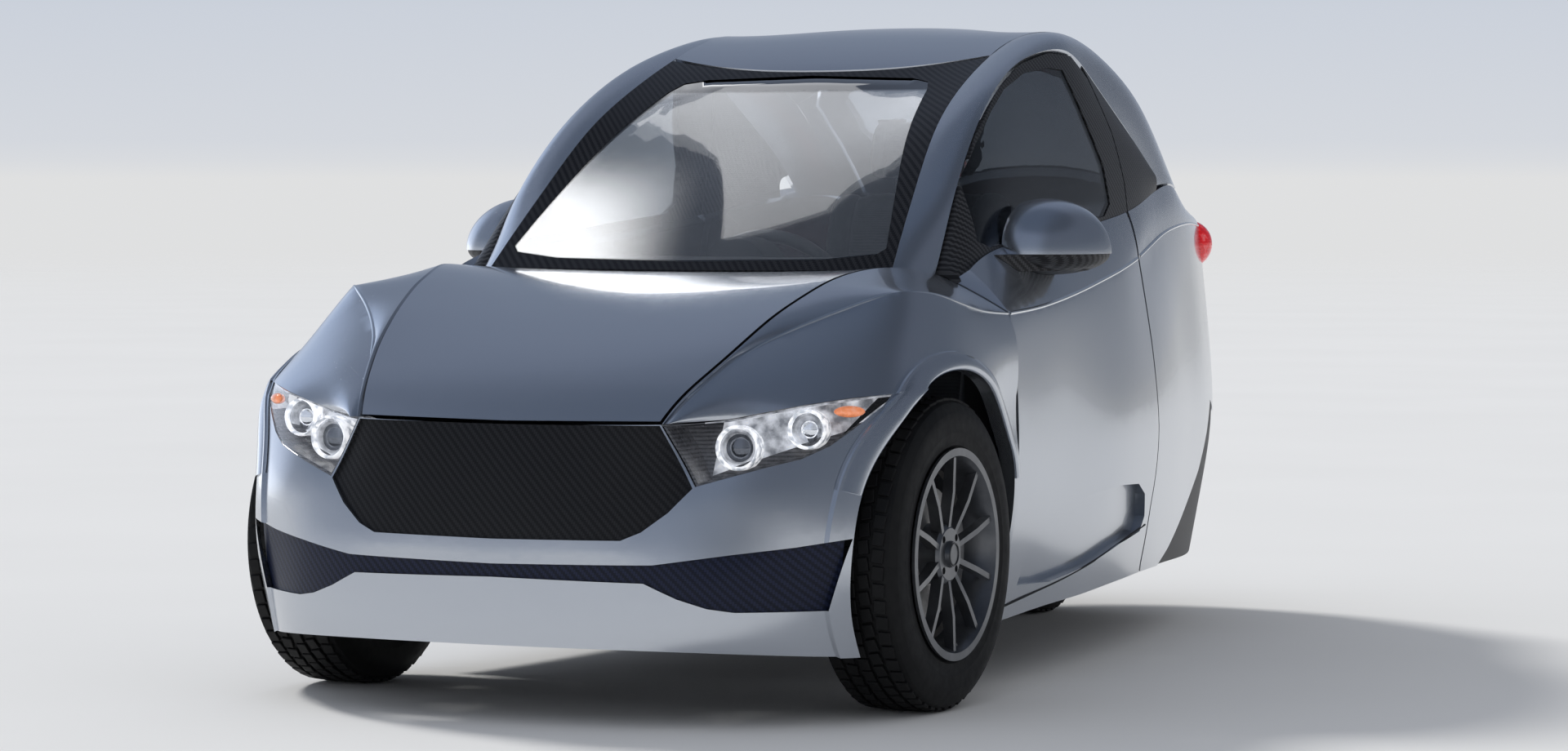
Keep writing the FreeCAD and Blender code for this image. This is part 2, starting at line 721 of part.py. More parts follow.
def door_frame():
    shape = window_plate(FRAME_DEPTH, gap=SHUT_GAP).common(from_side(grown(door_frame_outline(), -SHUT_GAP)))
    shape = shape.common(box((300, DOOR_FRONT, 600), (700, 500, 1400)))
    shape = shape.cut([from_side(SIDE_GLASS_OUTLINE), side_plate(DOOR_DEPTH)])
    return largest(shape)


def door_glass():
    shape = window_plate(GLASS_DEPTH, 3.0)
    return largest(shape.common(from_side(grown(SIDE_GLASS_OUTLINE, -PANEL_GAP))))


def quarter_trim():
    shape = window_plate(FRAME_DEPTH)
    outline = [(232, 1330)] + FRAME_REAR + [(900, 900), (900, 1330)]
    shape = shape.common(from_side(outline))
    return largest(shape.cut([rail(), side_plate(QUARTER_DEPTH)]))


def tail_lamp():
    """A round red lamp that stands out of the body's rear corner."""
    return Part.makeSphere(LAMP_RADIUS, TAIL_LAMP_CENTRE, Vector(0, 1, 0))


def tail_lamp_hole():
    hole = Part.makeSphere(LAMP_RADIUS + PANEL_GAP, TAIL_LAMP_CENTRE, Vector(0, 1, 0))
    return hole.fuse(mirror(hole))


# Hinges: the middle knuckle stays, the outer two carry the pin and move.

def hinge_pin(centre, axis, radius, length):
    start = centre - axis * (length / 2)
    return Part.makeCylinder(radius, length, start, axis)


def hinge_knuckle(centre, axis, radius, length, shift):
    start = centre + axis * (shift - length / 2)
    return Part.makeCylinder(radius, length, start, axis)


def fixed_knuckle(centre, axis):
    barrel = hinge_knuckle(centre, axis, HINGE_RADIUS, HINGE_LENGTH, 0)
    return barrel.cut(hinge_pin(centre, axis, HINGE_PIN + SHAFT_CLEARANCE, HINGE_LENGTH * 2))


def moving_knuckles(centre, axis):
    step = HINGE_LENGTH + SEAT_GAP
    pin = hinge_pin(centre, axis, HINGE_PIN, HINGE_LENGTH * 3)
    first = hinge_knuckle(centre, axis, HINGE_RADIUS, HINGE_LENGTH, step)
    second = hinge_knuckle(centre, axis, HINGE_RADIUS, HINGE_LENGTH, -step)
    return fused(pin, first, second)


def x_hinge(x, y, z):
    """Both halves of a hinge across the car: what stays and what moves."""
    centre = Vector(x, y, z)
    across = Vector(1, 0, 0)
    return fixed_knuckle(centre, across), moving_knuckles(centre, across)


def leaf(x, length, low, high):
    return box((x - length / 2, low[0], low[1]), (x + length / 2, high[0], high[1]))


def hood_with_hinges():
    shape = hood()
    for x in HOOD_HINGE_X:
        shape = shape.fuse(x_hinge(x, HOOD_AXIS_Y, HOOD_AXIS_Z)[1])
        step = HINGE_LENGTH + SEAT_GAP
        for side in (-step, step):
            plate = leaf(x + side, HINGE_LENGTH, (HOOD_AXIS_Y - 26, HOOD_AXIS_Z - 24),
                         (HOOD_AXIS_Y - 1, HOOD_AXIS_Z + 1))
            plate = plate.cut(hinge_pin(Vector(x, HOOD_AXIS_Y, HOOD_AXIS_Z), Vector(1, 0, 0), HINGE_PIN, 90))
            shape = shape.fuse(plate)
    return largest(shape.removeSplitter())


def tailgate_with_hinges():
    shape = tailgate()
    for x in TAILGATE_HINGE_X:
        shape = shape.fuse(x_hinge(x, TAILGATE_AXIS_Y, TAILGATE_AXIS_Z)[1])
        step = HINGE_LENGTH + SEAT_GAP
        for side in (-step, step):
            plate = leaf(x + side, HINGE_LENGTH, (TAILGATE_AXIS_Y + 1, TAILGATE_AXIS_Z - 40),
                         (TAILGATE_AXIS_Y + 18, TAILGATE_AXIS_Z + 1))
            shape = shape.fuse(plate)
    return largest(shape.removeSplitter())


def roof_with_hinges():
    shape = roof()
    for x in TAILGATE_HINGE_X:
        shape = shape.fuse(x_hinge(x, TAILGATE_AXIS_Y, TAILGATE_AXIS_Z)[0])
        plate = leaf(x, HINGE_LENGTH, (TAILGATE_AXIS_Y - 18, TAILGATE_AXIS_Z - 24),
                     (TAILGATE_AXIS_Y - 3.5, TAILGATE_AXIS_Z + 3))
        shape = shape.fuse(plate)
    return largest(shape.removeSplitter())


# Doors

def door_pin(up):
    """Upright pin of one door hinge, held in the door above and below the body's arm."""
    low = Vector(DOOR_AXIS_X, DOOR_AXIS_Y, up - DOOR_HINGE_HEIGHT / 2 - 14)
    return Part.makeCylinder(DOOR_PIN_RADIUS, DOOR_HINGE_HEIGHT + 28, low)


def door_hinge_pocket(up):
    """Room in the door's front inner corner for the arm through the door's swing."""
    half = DOOR_HINGE_HEIGHT / 2
    low = (DOOR_AXIS_X - 60, DOOR_AXIS_Y - 40, up - half)
    high = (DOOR_AXIS_X + 13, DOOR_AXIS_Y + 15, up + half)
    return box(low, high)


def door_hinge_arm(up):
    """The arm on the body's front post, with an eye round the pin."""
    half = DOOR_HINGE_HEIGHT / 2 - SEAT_GAP
    low = Vector(DOOR_AXIS_X, DOOR_AXIS_Y, up - half)
    eye = Part.makeCylinder(DOOR_EYE_RADIUS, 2 * half, low)
    arm = box((DOOR_AXIS_X - 45, DOOR_AXIS_Y - 8, up - half), (DOOR_AXIS_X, DOOR_AXIS_Y + 4, up + half))
    bore = Part.makeCylinder(DOOR_PIN_RADIUS + SHAFT_CLEARANCE, 2 * half, low)
    return fused(eye, arm).cut(bore)


def door_with_hinges():
    shape = door()
    for up in DOOR_HINGE_UP:
        shape = shape.cut(door_hinge_pocket(up)).fuse(door_pin(up))
    return largest(shape.removeSplitter())


def ellipsoid(centre, out, along, up):
    stretch = FreeCAD.Matrix()
    stretch.scale(out, along, up)
    ball = Part.makeSphere(1.0).transformGeometry(stretch)
    ball.translate(centre)
    return ball


def mirror_body(out, along, up, low, high):
    """The part of a dome round the mirror's middle between two heights, clear of the door."""
    shape = ellipsoid(MIRROR_CENTRE, out, along, up)
    shape = shape.common(box((MIRROR_INNER_X, MIRROR_CENTRE.y - 200, low), (900, MIRROR_BACK_Y, high)))
    return shape.cut([side_plate(90.0, -2 * SEAT_GAP), window_plate(90.0, -2 * SEAT_GAP)])


def mirror_shell():
    """Domed cover with a flat underside and a shallow recess at the back for the glass."""
    floor = MIRROR_CENTRE.z
    shape = mirror_body(MIRROR_HALF_WIDTH, MIRROR_HALF_LENGTH, MIRROR_HEIGHT, floor, 1200)
    recess = ellipsoid(MIRROR_CENTRE, MIRROR_HALF_WIDTH - 9, MIRROR_HALF_LENGTH, MIRROR_HEIGHT - 9)
    recess = recess.common(box((MIRROR_INNER_X + 9, MIRROR_BACK_Y - 6, floor + 8), (900, MIRROR_BACK_Y + 10, 1200)))
    return largest(shape.cut(recess))


def mirror_base():
    """Carbon tray below the cover, on an arm to the front corner of the window."""
    floor = MIRROR_CENTRE.z - SEAT_GAP
    tray = mirror_body(MIRROR_HALF_WIDTH - 4, MIRROR_HALF_LENGTH - 4, MIRROR_TRAY, floor - 100, floor)
    corners = [Vector(540, -560, floor - 34), Vector(690, -300, floor - 34),
               Vector(690, -285, floor - 34), Vector(560, -285, floor - 34), Vector(540, -440, floor - 34)]
    arm = Part.Face(Part.makePolygon(corners + corners[:1])).extrude(Vector(0, 0, 34))
    arm = arm.cut([side_plate(90.0, -2 * SEAT_GAP), window_plate(90.0, -2 * SEAT_GAP)])
    return largest(tray.fuse(arm).removeSplitter())


# Interior

def profile_across(profile, half):
    """A (along, up) profile drawn across the car, the same width on both sides of the middle."""
    corners = [Vector(-half, along, up) for along, up in profile]
    return Part.Face(Part.makePolygon(corners + [corners[0]])).extrude(Vector(2 * half, 0, 0))


def dashboard():
    profile = [(-604, 790), (-604, 846), (-560, 858), (-480, 856), (-430, 836), (-405, 790),
               (-415, 720), (-450, 660), (-520, 640), (-604, 640)]
    shape = profile_across(profile, 440)
    binnacle = Part.makeCylinder(75, 100, Vector(0, -520, 822), Vector(0, 1, 0))
    binnacle = binnacle.common(box((-200, -600, 780), (200, -330, 950)))
    shape = shape.fuse(binnacle).cut(steering_column(COLUMN_RADIUS + SEAT_GAP))
    return largest(shape.removeSplitter())


def steering_axis():
    lean = math.radians(STEERING_LEAN)
    return Vector(0, -math.cos(lean), -math.sin(lean))


def steering_column(radius):
    return Part.makeCylinder(radius, COLUMN_LENGTH, Vector(0, STEERING_Y, STEERING_Z), steering_axis())


def steering_wheel():
    """Rim, three spokes and the column into the dashboard."""
    centre = Vector(0, STEERING_Y, STEERING_Z)
    axis = steering_axis()
    ring = Part.makeTorus(STEERING_RADIUS, 14, centre, axis)
    hub = Part.makeCylinder(46, 34, centre - axis * 10, axis)
    side = Vector(1, 0, 0)
    down = axis.cross(side)
    if down.z > 0:
        down = down * -1
    bars = [Part.makeCylinder(9, STEERING_RADIUS, centre, direction) for direction in (side, side * -1, down)]
    return fused(ring, hub, steering_column(COLUMN_RADIUS), *bars)


def seat():
    """One seat in the middle: cushion, back with side bolsters, and the head rest."""
    cushion = profile_across([(-160, 345), (-170, 410), (-140, 452), (60, 440), (250, 430), (285, 440),
                              (285, 345)], 225)
    bolster = [(-120, 420), (-110, 468), (60, 480), (250, 478), (270, 440), (270, 400)]
    right = profile_across(bolster, 225).cut(profile_across([(-300, 300), (400, 300), (400, 600), (-300, 600)], 165))
    back = profile_across([(262, 452), (330, 700), (375, 930), (400, 985), (470, 1000), (487, 960),
                           (440, 700), (360, 452)], 215)
    head = profile_across([(402, 1014), (420, 1120), (444, 1168), (500, 1172), (516, 1130), (500, 1014)], 130)
    posts = [rod((x, 462, 975), (x, 462, 1040), 7) for x in (-70, 70)]
    return fused(cushion, right, back, head, *posts)


# Structure

def both_boxes(low, high):
    return pair(box(low, high))


def tub():
    """Floor, sills, firewall, front posts, rear wall, luggage floor and the hoop behind the doors."""
    behind_doors = side_plate(230.0, DOOR_DEPTH + 6.0).fuse(box((-400, FLOOR_FRONT - WALL, 100), (400, 700, 700)))
    floor = box((-700, FLOOR_FRONT - WALL, FLOOR_UP), (700, FLOOR_REAR, FLOOR_UP + FLOOR_THICKNESS))
    floor = floor.common(behind_doors)
    sills = side_plate(60.0, DOOR_DEPTH + 6.0).common(box((-640, FLOOR_FRONT, 140), (640, 400, 262)))
    inside_fenders = fender_plate(330.0, PANEL_DEPTH + SEAT_GAP)
    inside_fenders = inside_fenders.fuse(mirror(inside_fenders)).fuse(box((-420, -900, 100), (420, 0, 900)))
    front_wall = box((-700, FLOOR_FRONT - WALL, FLOOR_UP), (700, FLOOR_FRONT, 782))
    front_wall = front_wall.common(inside_fenders).cut(side_plate(DOOR_DEPTH + 6.0, -1.0))
    posts = side_plate(70.0, DOOR_DEPTH + 6.0)
    posts = posts.common(box((-700, FLOOR_FRONT - WALL, 160), (700, FLOOR_FRONT + 30, 740)))
    rear_wall = box((-520, FLOOR_REAR - WALL, FLOOR_UP), (520, FLOOR_REAR, DECK_UP + WALL))
    deck = box((-560, FLOOR_REAR - WALL, DECK_UP), (560, 1420, DECK_UP + WALL))
    inside_body = side_plate(230.0, QUARTER_DEPTH + SEAT_GAP).fuse(box((-340, 300, 100), (340, 1250, 1100)))
    rear_wall = rear_wall.common(inside_body)
    deck = deck.common(inside_body)
    hoop = side_plate(40.0, QUARTER_DEPTH + SEAT_GAP).common(box((-640, 392, 163), (640, 440, 960)))
    swept = swing_room(DOOR_DEPTH, -1)
    shape = floor.fuse([sills, front_wall, posts, rear_wall, deck, hoop]).cut([swept, mirror(swept)])
    arms = [door_hinge_arm(up) for up in DOOR_HINGE_UP]
    shape = shape.fuse(arms + [mirror(arm) for arm in arms])
    return shape.removeSplitter()


def cowl():
    """Tray below the windscreen's foot, with the fixed halves of the hood hinges."""
    tray = box((-640, HOOD_AXIS_Y + 7, 782.3), (640, -648, 816.5))
    tray = tray.common(fender_plate(300.0, PANEL_DEPTH).fuse([mirror(fender_plate(300.0, PANEL_DEPTH)),
                                                            box((-440, -900, 700), (440, -500, 900))]))
    shape = tray
    for x in HOOD_HINGE_X:
        shape = shape.fuse(x_hinge(x, HOOD_AXIS_Y, HOOD_AXIS_Z)[0])
        plate = leaf(x, HINGE_LENGTH, (HOOD_AXIS_Y + 3.5, 800), (HOOD_AXIS_Y + 9, HOOD_AXIS_Z + 2))
        shape = shape.fuse(plate)
    return largest(shape.cut(pair(rail())).removeSplitter())


def front_suspension():
    """Cross member, two towers, four arms that carry the knuckles, and two spring legs."""
    cross = box((-TOWER_OUT, FRONT_AXLE_Y - 36, 165), (TOWER_OUT, FRONT_AXLE_Y + 36, 215))
    rails = both_boxes((230, FRONT_AXLE_Y + 30, 170), (290, FLOOR_FRONT - WALL - SEAT_GAP, 230))
    nose = both_boxes((230, -1470, 170), (280, FRONT_AXLE_Y - 30, 230))
    beam = box((-330, -1490, 160), (330, -1462, 250))
    towers = both_boxes((TOWER_OUT - 46, FRONT_AXLE_Y - 30, 180), (TOWER_OUT, FRONT_AXLE_Y + 30, 600))
    shape = cross.fuse([rails, nose, beam, towers])
    for low, high in ((ARM_LOW, ARM_LOW + 16), (ARM_HIGH, ARM_HIGH + 16)):
        outline = [(TOWER_OUT - 20, FRONT_AXLE_Y - 30), (KINGPIN_X, FRONT_AXLE_Y - 18),
                   (KINGPIN_X, FRONT_AXLE_Y + 18), (TOWER_OUT - 20, FRONT_AXLE_Y + 30)]
        arm = Part.Face(flat_outline(outline, lambda a, b: Vector(a, b, low))).extrude(Vector(0, 0, high - low))
        eye = Part.makeCylinder(22, high - low, Vector(KINGPIN_X, FRONT_AXLE_Y, low))
        arm = arm.fuse(eye)
        bore = Part.makeCylinder(PIN_RADIUS + SHAFT_CLEARANCE, 80, Vector(KINGPIN_X, FRONT_AXLE_Y, low - 30))
        arm = arm.cut(bore)
        shape = shape.fuse([arm, mirror(arm)])
    leg = rod((430, FRONT_AXLE_Y, ARM_LOW + 8), (TOWER_OUT - 10, FRONT_AXLE_Y, 585), 11)
    spring = rod((412, FRONT_AXLE_Y, 260), (352, FRONT_AXLE_Y, 500), 27)
    shape = shape.fuse([leg, mirror(leg), spring, mirror(spring)])
    return shape.removeSplitter()


def knuckle():
    """Upright between the arms, with the kingpin, the stub axle and the brake calliper."""
    y = FRONT_AXLE_Y
    low, high = ARM_LOW + 16 + SEAT_GAP, ARM_HIGH - SEAT_GAP
    upright = box((KINGPIN_X - 16, y - 24, low), (KINGPIN_X + 16, y + 24, high))
    pin = Part.makeCylinder(PIN_RADIUS, ARM_HIGH + 22 - ARM_LOW, Vector(KINGPIN_X, y, ARM_LOW - 3))
    stub = rod((KINGPIN_X, y, AXLE_Z), (WHEEL_X + TYRE_WIDTH / 2 - 22, y, AXLE_Z), HUB_BORE - SHAFT_CLEARANCE)
    flange = rod((KINGPIN_X, y, AXLE_Z), (WHEEL_X + DISC_IN - 6, y, AXLE_Z), 44)
    steer_arm = box((KINGPIN_X - 12, y, AXLE_Z - 20), (KINGPIN_X + 12, y + 96, AXLE_Z))
    out = WHEEL_X + DISC_IN
    ring = rod((out - 16, y, AXLE_Z), (out + DISC_THICKNESS + 10, y, AXLE_Z), 146)
    ring = ring.cut(rod((out - 20, y, AXLE_Z), (out + 40, y, AXLE_Z), 88))
    slot = rod((out - 2, y, AXLE_Z), (out + DISC_THICKNESS + 2, y, AXLE_Z), DISC_RADIUS + 4)
    caliper = ring.cut(slot).common(box((500, y + 60, AXLE_Z - 62), (760, y + 200, AXLE_Z + 62)))
    bracket = box((KINGPIN_X - 10, y + 10, AXLE_Z - 14), (out - 4, y + 110, AXLE_Z + 14))
    bracket = bracket.cut(rod((out - 60, y, AXLE_Z), (out + 60, y, AXLE_Z), 20))
    return largest(fused(upright, pin, stub, flange, steer_arm, caliper, bracket))


def swingarm():
    """Two arms beside the rear wheel, joined ahead of it by the pivot tube, and the rear axle."""
    half = TYRE_WIDTH / 2 + 18
    profile = [(FLOOR_REAR + SEAT_GAP, 215), (FLOOR_REAR + 60, 205), (REAR_AXLE_Y, AXLE_Z - 34),
               (REAR_AXLE_Y + 30, AXLE_Z), (REAR_AXLE_Y, AXLE_Z + 34), (FLOOR_REAR + 60, 300),
               (FLOOR_REAR + SEAT_GAP, 292)]
    corners = [Vector(half, along, up) for along, up in profile]
    arm = Part.Face(Part.makePolygon(corners + [corners[0]])).extrude(Vector(26, 0, 0))
    pivot = box((-half - 26, FLOOR_REAR + SEAT_GAP, 215), (half + 26, FLOOR_REAR + 34, 292))
    axle = rod((-half, REAR_AXLE_Y, AXLE_Z), (half, REAR_AXLE_Y, AXLE_Z), HUB_BORE - SHAFT_CLEARANCE)
    return fused(pivot, arm, mirror(arm), axle)


def motor():
    """The drive motor, one plain drum ahead of the rear wheel."""
    y = FLOOR_REAR + SEAT_GAP + MOTOR_RADIUS
    return rod((-MOTOR_LENGTH / 2, y, MOTOR_UP), (MOTOR_LENGTH / 2, y, MOTOR_UP), MOTOR_RADIUS)


def battery():
    """The battery, one plain block on the floor below the seat."""
    low = FLOOR_UP + FLOOR_THICKNESS + SEAT_GAP
    return box((-BATTERY_WIDTH / 2, BATTERY_FRONT, low), (BATTERY_WIDTH / 2, BATTERY_REAR, BATTERY_TOP))


# Wheels and what carries them

def tyre_profile():
    half, tread, seat = TYRE_WIDTH / 2, TREAD_WIDTH / 2, RIM_SEAT_RADIUS
    out = TYRE_RADIUS
    return [
        (-half + 10, seat + 0.3), (half - 10, seat + 0.3), (half - 2, seat + 24), (half, seat + 55),
        (half - 5, out - 26), (tread, out - 6), (tread / 2, out), (-tread / 2, out), (-tread, out - 6),
        (-half + 5, out - 26), (-half, seat + 55), (-half + 2, seat + 24),
    ]


def rim_shape(face):
    """Ten thin spokes from the hub to the barrel. The face lies at +X of the wheel's middle."""
    half, seat = TYRE_WIDTH / 2 - 10, RIM_SEAT_RADIUS
    lip = seat + RIM_LIP
    barrel = turned_about_x([
        (-half, seat), (-half - 8, lip), (-half - 8 - RIM_WALL, lip), (-half - 8 - RIM_WALL, seat - RIM_WALL),
        (0, seat - 34), (half, seat - RIM_WALL - 4), (half + 8 + RIM_WALL, seat - 2),
        (half + 8 + RIM_WALL, lip), (half + 8, lip), (half, seat), (10, seat - 26)], Vector(0, 0, 0))
    disc_out = DISC_IN + DISC_THICKNESS
    hub = turned_about_x([
        (DISC_IN, HUB_BORE), (DISC_IN, DISC_RADIUS), (disc_out, DISC_RADIUS), (disc_out, HUB_RADIUS),
        (face - 18, HUB_RADIUS), (face - 12, HUB_RADIUS - 8),
        (face - 12, CAP_RADIUS + 2), (face - 4, CAP_RADIUS), (face - 4, 0), (face - 20, 0),
        (face - 20, HUB_BORE)], Vector(0, 0, 0))
    spoke_profile = [(face - 36, HUB_RADIUS - 12), (face - 14, HUB_RADIUS - 12), (face - 4, 120),
                     (face - 2, seat - 3), (face - 20, seat - 3), (face - 26, 120)]
    corners = [Vector(a, -SPOKE_WIDTH / 2, r) for a, r in spoke_profile]
    spoke = Part.Face(Part.makePolygon(corners + [corners[0]])).extrude(Vector(0, SPOKE_WIDTH, 0))
    spokes = []
    for i in range(SPOKE_COUNT):
        copy = spoke.copy()
        copy.rotate(Vector(0, 0, 0), Vector(1, 0, 0), i * 360.0 / SPOKE_COUNT)
        spokes.append(copy)
    shape = barrel.fuse([hub] + spokes)
    holes = []
    for i in range(LUG_COUNT):
        angle = math.radians(45 + i * 360.0 / LUG_COUNT)
        y, z = LUG_CIRCLE / 2 * math.cos(angle), LUG_CIRCLE / 2 * math.sin(angle)
        holes.append(rod((face - 34, y, z), (face + 10, y, z), LUG_RADIUS))
    return shape.cut(holes).removeSplitter()


def placed(shape, centre):
    copy = shape.copy()
    copy.translate(centre)
    return copy


def build():
    left_wheel = Vector(WHEEL_X, FRONT_AXLE_Y, AXLE_Z)
    rear_wheel = Vector(0, REAR_AXLE_Y, AXLE_Z)
    rim = rim_shape(TYRE_WIDTH / 2)
    tyre = turned_about_x(tyre_profile(), Vector(0, 0, 0))
    bucket, units = headlamp_bucket()
    nose = bumper()
    both = {
        "fender": fender(nose),
        "door": door_with_hinges(),
        "door_frame": door_frame(),
        "door_glass": door_glass(),
        "mirror": mirror_shell(),
        "mirror_base": mirror_base(),
        "quarter": quarter(),
        "knuckle": knuckle(),
        "front_rim": placed(rim, left_wheel),
        "front_tyre": placed(tyre, left_wheel),
    }
    nodes = {
        "bumper": nose,
        "grille": grille(),
        "lower_intake": intake(),
        "headlamp_lenses": pair(headlamp_lens()),
        "headlamp_units": pair(fused(bucket, *units)),
        "hood": hood_with_hinges(),
        "cowl": cowl(),
        "windscreen": windscreen(),
        "windscreen_frame": windscreen_frame(),
        "roof": roof_with_hinges(),
        "roof_rails": pair(rail()),
        "quarter_trims": pair(quarter_trim()),
        "tail_frame": tail_frame(),
        "tailgate": tailgate_with_hinges(),
        "rear_window": backlight(),
        "rear_bumper": rear_bumper(),
        "diffuser": diffuser(),
        "tail_lamps": pair(tail_lamp()),
        "tub": tub(),
        "dashboard": dashboard(),
        "steering_wheel": steering_wheel(),
        "seat": seat(),
        "battery": battery(),
        "motor": motor(),
        "front_suspension": front_suspension(),
        "swingarm": swingarm(),
        "rear_rim": placed(rim.cut(rod((-200, 0, 0), (200, 0, 0), HUB_BORE)), rear_wheel),
        "rear_tyre": placed(tyre, rear_wheel),
    }
    for name, shape in both.items():
        nodes[name + "_left"] = shape
        nodes[name + "_right"] = mirror(shape)
    return nodes


os.makedirs("parts", exist_ok=True)
for name, shape in build().items():
    shape.exportStep("parts/" + name + ".step")
    print(name, len(shape.Solids), shape.isValid(), round(shape.Volume / 1e6, 3))
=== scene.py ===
import math

import bmesh
import bpy
from mathutils import Matrix, Vector
from mathutils.bvhtree import BVHTree


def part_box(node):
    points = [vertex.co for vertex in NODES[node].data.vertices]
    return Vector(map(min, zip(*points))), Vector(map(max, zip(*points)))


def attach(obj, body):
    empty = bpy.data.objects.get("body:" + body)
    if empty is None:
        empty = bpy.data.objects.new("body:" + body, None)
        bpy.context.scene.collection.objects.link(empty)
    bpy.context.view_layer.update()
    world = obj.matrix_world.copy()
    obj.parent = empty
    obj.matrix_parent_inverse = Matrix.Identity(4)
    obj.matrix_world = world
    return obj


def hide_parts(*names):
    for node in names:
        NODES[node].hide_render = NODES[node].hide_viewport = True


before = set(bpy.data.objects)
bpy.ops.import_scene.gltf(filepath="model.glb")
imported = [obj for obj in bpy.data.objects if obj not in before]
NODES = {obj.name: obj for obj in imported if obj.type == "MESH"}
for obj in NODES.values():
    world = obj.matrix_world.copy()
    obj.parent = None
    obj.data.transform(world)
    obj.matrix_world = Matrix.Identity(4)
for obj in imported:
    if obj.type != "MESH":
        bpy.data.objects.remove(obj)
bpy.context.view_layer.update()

SIDES = ((1, "left"), (-1, "right"))
SHARP = math.radians(28)

# The photograph's camera: place in metres, angles in degrees, lens and sensor in millimetres
CAMERA_PLACE = Vector((4.3247, -9.3973, 1.0194))
CAMERA_AZIMUTH = 25.380
CAMERA_ELEVATION = 2.354
CAMERA_LENS = 110.16
SENSOR_WIDTH = 36.0
VIEW_REACH = 200.0

# Surroundings: colour by height, from the horizon to straight up
SKY_STOPS = [(0.0, (0.74, 0.745, 0.75)), (0.006, (0.66, 0.685, 0.73)), (0.035, (0.60, 0.64, 0.71)),
             (0.09, (0.36, 0.40, 0.48)), (0.36, (0.215, 0.26, 0.345)), (0.76, (0.20, 0.24, 0.33)),
             (0.88, (0.09, 0.12, 0.18)), (1.0, (0.08, 0.11, 0.17))]
# They darken toward one side, between these two closenesses to its way, down to this share
SHADE_WAY = (0.98, 0.20, 0.0)
SHADE_RANGE = (-0.06, 0.36)
SHADE_LEVEL = 0.5
# A soft patch glows behind the car: its way, half width in degrees, and brightness
EDGE_GLOW_WAY = (-0.86, 0.46, 0.22)
EDGE_GLOW_WIDTH = 26.0
EDGE_GLOW = 1.7
# Half width of the floor, and the distances between which it fades away
FLOOR_SIZE = 90.0
FLOOR_FADE = (14.0, 60.0)
# Suns: strength, width in degrees, the way they shine, colour
KEY_SUN = (2.2, 10, (0.66, -0.36, -0.60), (1.0, 0.99, 0.965))
FILL_SUN = (1.05, 170, (0, 0, -1), (1.0, 0.99, 0.97))
# Softboxes over the windscreen: limits along X and along Y, then X and brightness at both ends of a fade
SCREEN_BOX_HEIGHT = 2.6
SCREEN_STREAK = ((-2.2, -0.90), (-0.6, 1.2), (-1.30, 4.4), (-0.90, 0.0))
SCREEN_VEIL = ((-1.02, -0.64), (-0.16, 1.2), (-0.95, 1.2), (-0.66, 0.9))
SCREEN_TURN = 9.5

# Tyre: half of the carcass section, from the middle of the tread to the bead, as (across, radius)
TYRE_RADIUS = 0.302
TREAD_FLOOR = 0.2955
TYRE_SECTION = [(0.0, TREAD_FLOOR), (0.050, TREAD_FLOOR), (0.068, 0.2940), (0.0765, 0.2895), (0.0815, 0.2820),
                (0.0845, 0.2725), (0.0850, 0.2715), (0.0858, 0.2700), (0.0875, 0.2550), (0.0880, 0.2440),
                (0.0877, 0.2335), (0.0878, 0.2325), (0.0874, 0.2310), (0.0862, 0.2225), (0.0848, 0.2140),
                (0.0852, 0.2120), (0.0846, 0.2085), (0.0815, 0.2045), (0.0800, 0.1990), (0.0785, 0.1925),
                (0.0760, 0.1909)]
# Rows of tread blocks: place across, width, skew in radians, shift in pitches
TREAD_PITCHES = 58
TREAD_ROWS = [(0.0, 0.021, 0.0, 0.0), (0.0285, 0.021, 0.16, 0.5), (-0.0285, 0.021, -0.16, 0.5),
              (0.0570, 0.023, -0.10, 0.0), (-0.0570, 0.023, 0.10, 0.0)]
MIDDLE_BLOCK_SHARE = 0.86
BLOCK_SHARE = 0.80
BLOCK_ROOT = 0.002
BLOCK_BEVEL = 0.0011
CROWN_DROP = 0.0004
# Outside this place across, the rows are lower and lean
SHOULDER_FROM = 0.05
SHOULDER_DROP = 0.0022
SHOULDER_TILT = 0.075

# Wheel: how far out its face stands, and what sits in it
WHEEL_FACE = 0.088
LUG_CIRCLE_RADIUS = 0.042
LUG_COUNT = 4
LUG_RECESS = 0.026
LUG_RADII = (0.0062, 0.0055)
LUG_DEPTH = 0.012
CAP_RING = [(-0.0039, 0.0195), (-0.0022, 0.0200), (-0.0022, 0.0222), (-0.0039, 0.0228)]
VALVE_PLACE = (WHEEL_FACE - 0.016, 0.012, -0.176)
VALVE_TURN = 1.4
VALVE_RADII = (0.0045, 0.003)
VALVE_LENGTH = 0.026
# The brake disc's faces, as distances from the wheel's middle
DISC_LAYER = (0.0215, 0.0325)

# Front wheel opening, in Y and Z, and the lip round it: its ends in degrees, its section as (radius, height)
ARCH_CENTRE = (-1.004, 0.315)
LIP_ENDS = (12.0, 160.0)
LIP_STEPS = 60
LIP_SHARP = math.radians(50)
LIP_SECTION = [(0.3430, -0.004), (0.3425, 0.003), (0.3470, 0.0055), (0.3560, 0.0055), (0.3680, 0.003),
               (0.3760, -0.001), (0.3600, -0.004)]

# Inner wall of the front wheel house: its place across, radius, foot, and the step down to its rear end
WALL_PLACE = 0.357
WALL_THICKNESS = 0.003
WALL_STEPS = 48
WALL_RADIUS = 0.352
WALL_FOOT = 0.175
WALL_STEP = 0.520
WALL_REAR = -0.605

# Lamps of the left side: middle and radius of each ring, and the way they face
LAMP_RINGS = [(Vector((0.437, -1.402, 0.519)), 0.041), (Vector((0.545, -1.328, 0.552)), 0.036)]
LAMP_AXIS = Vector((0.12, -1.0, 0.05)).normalized()
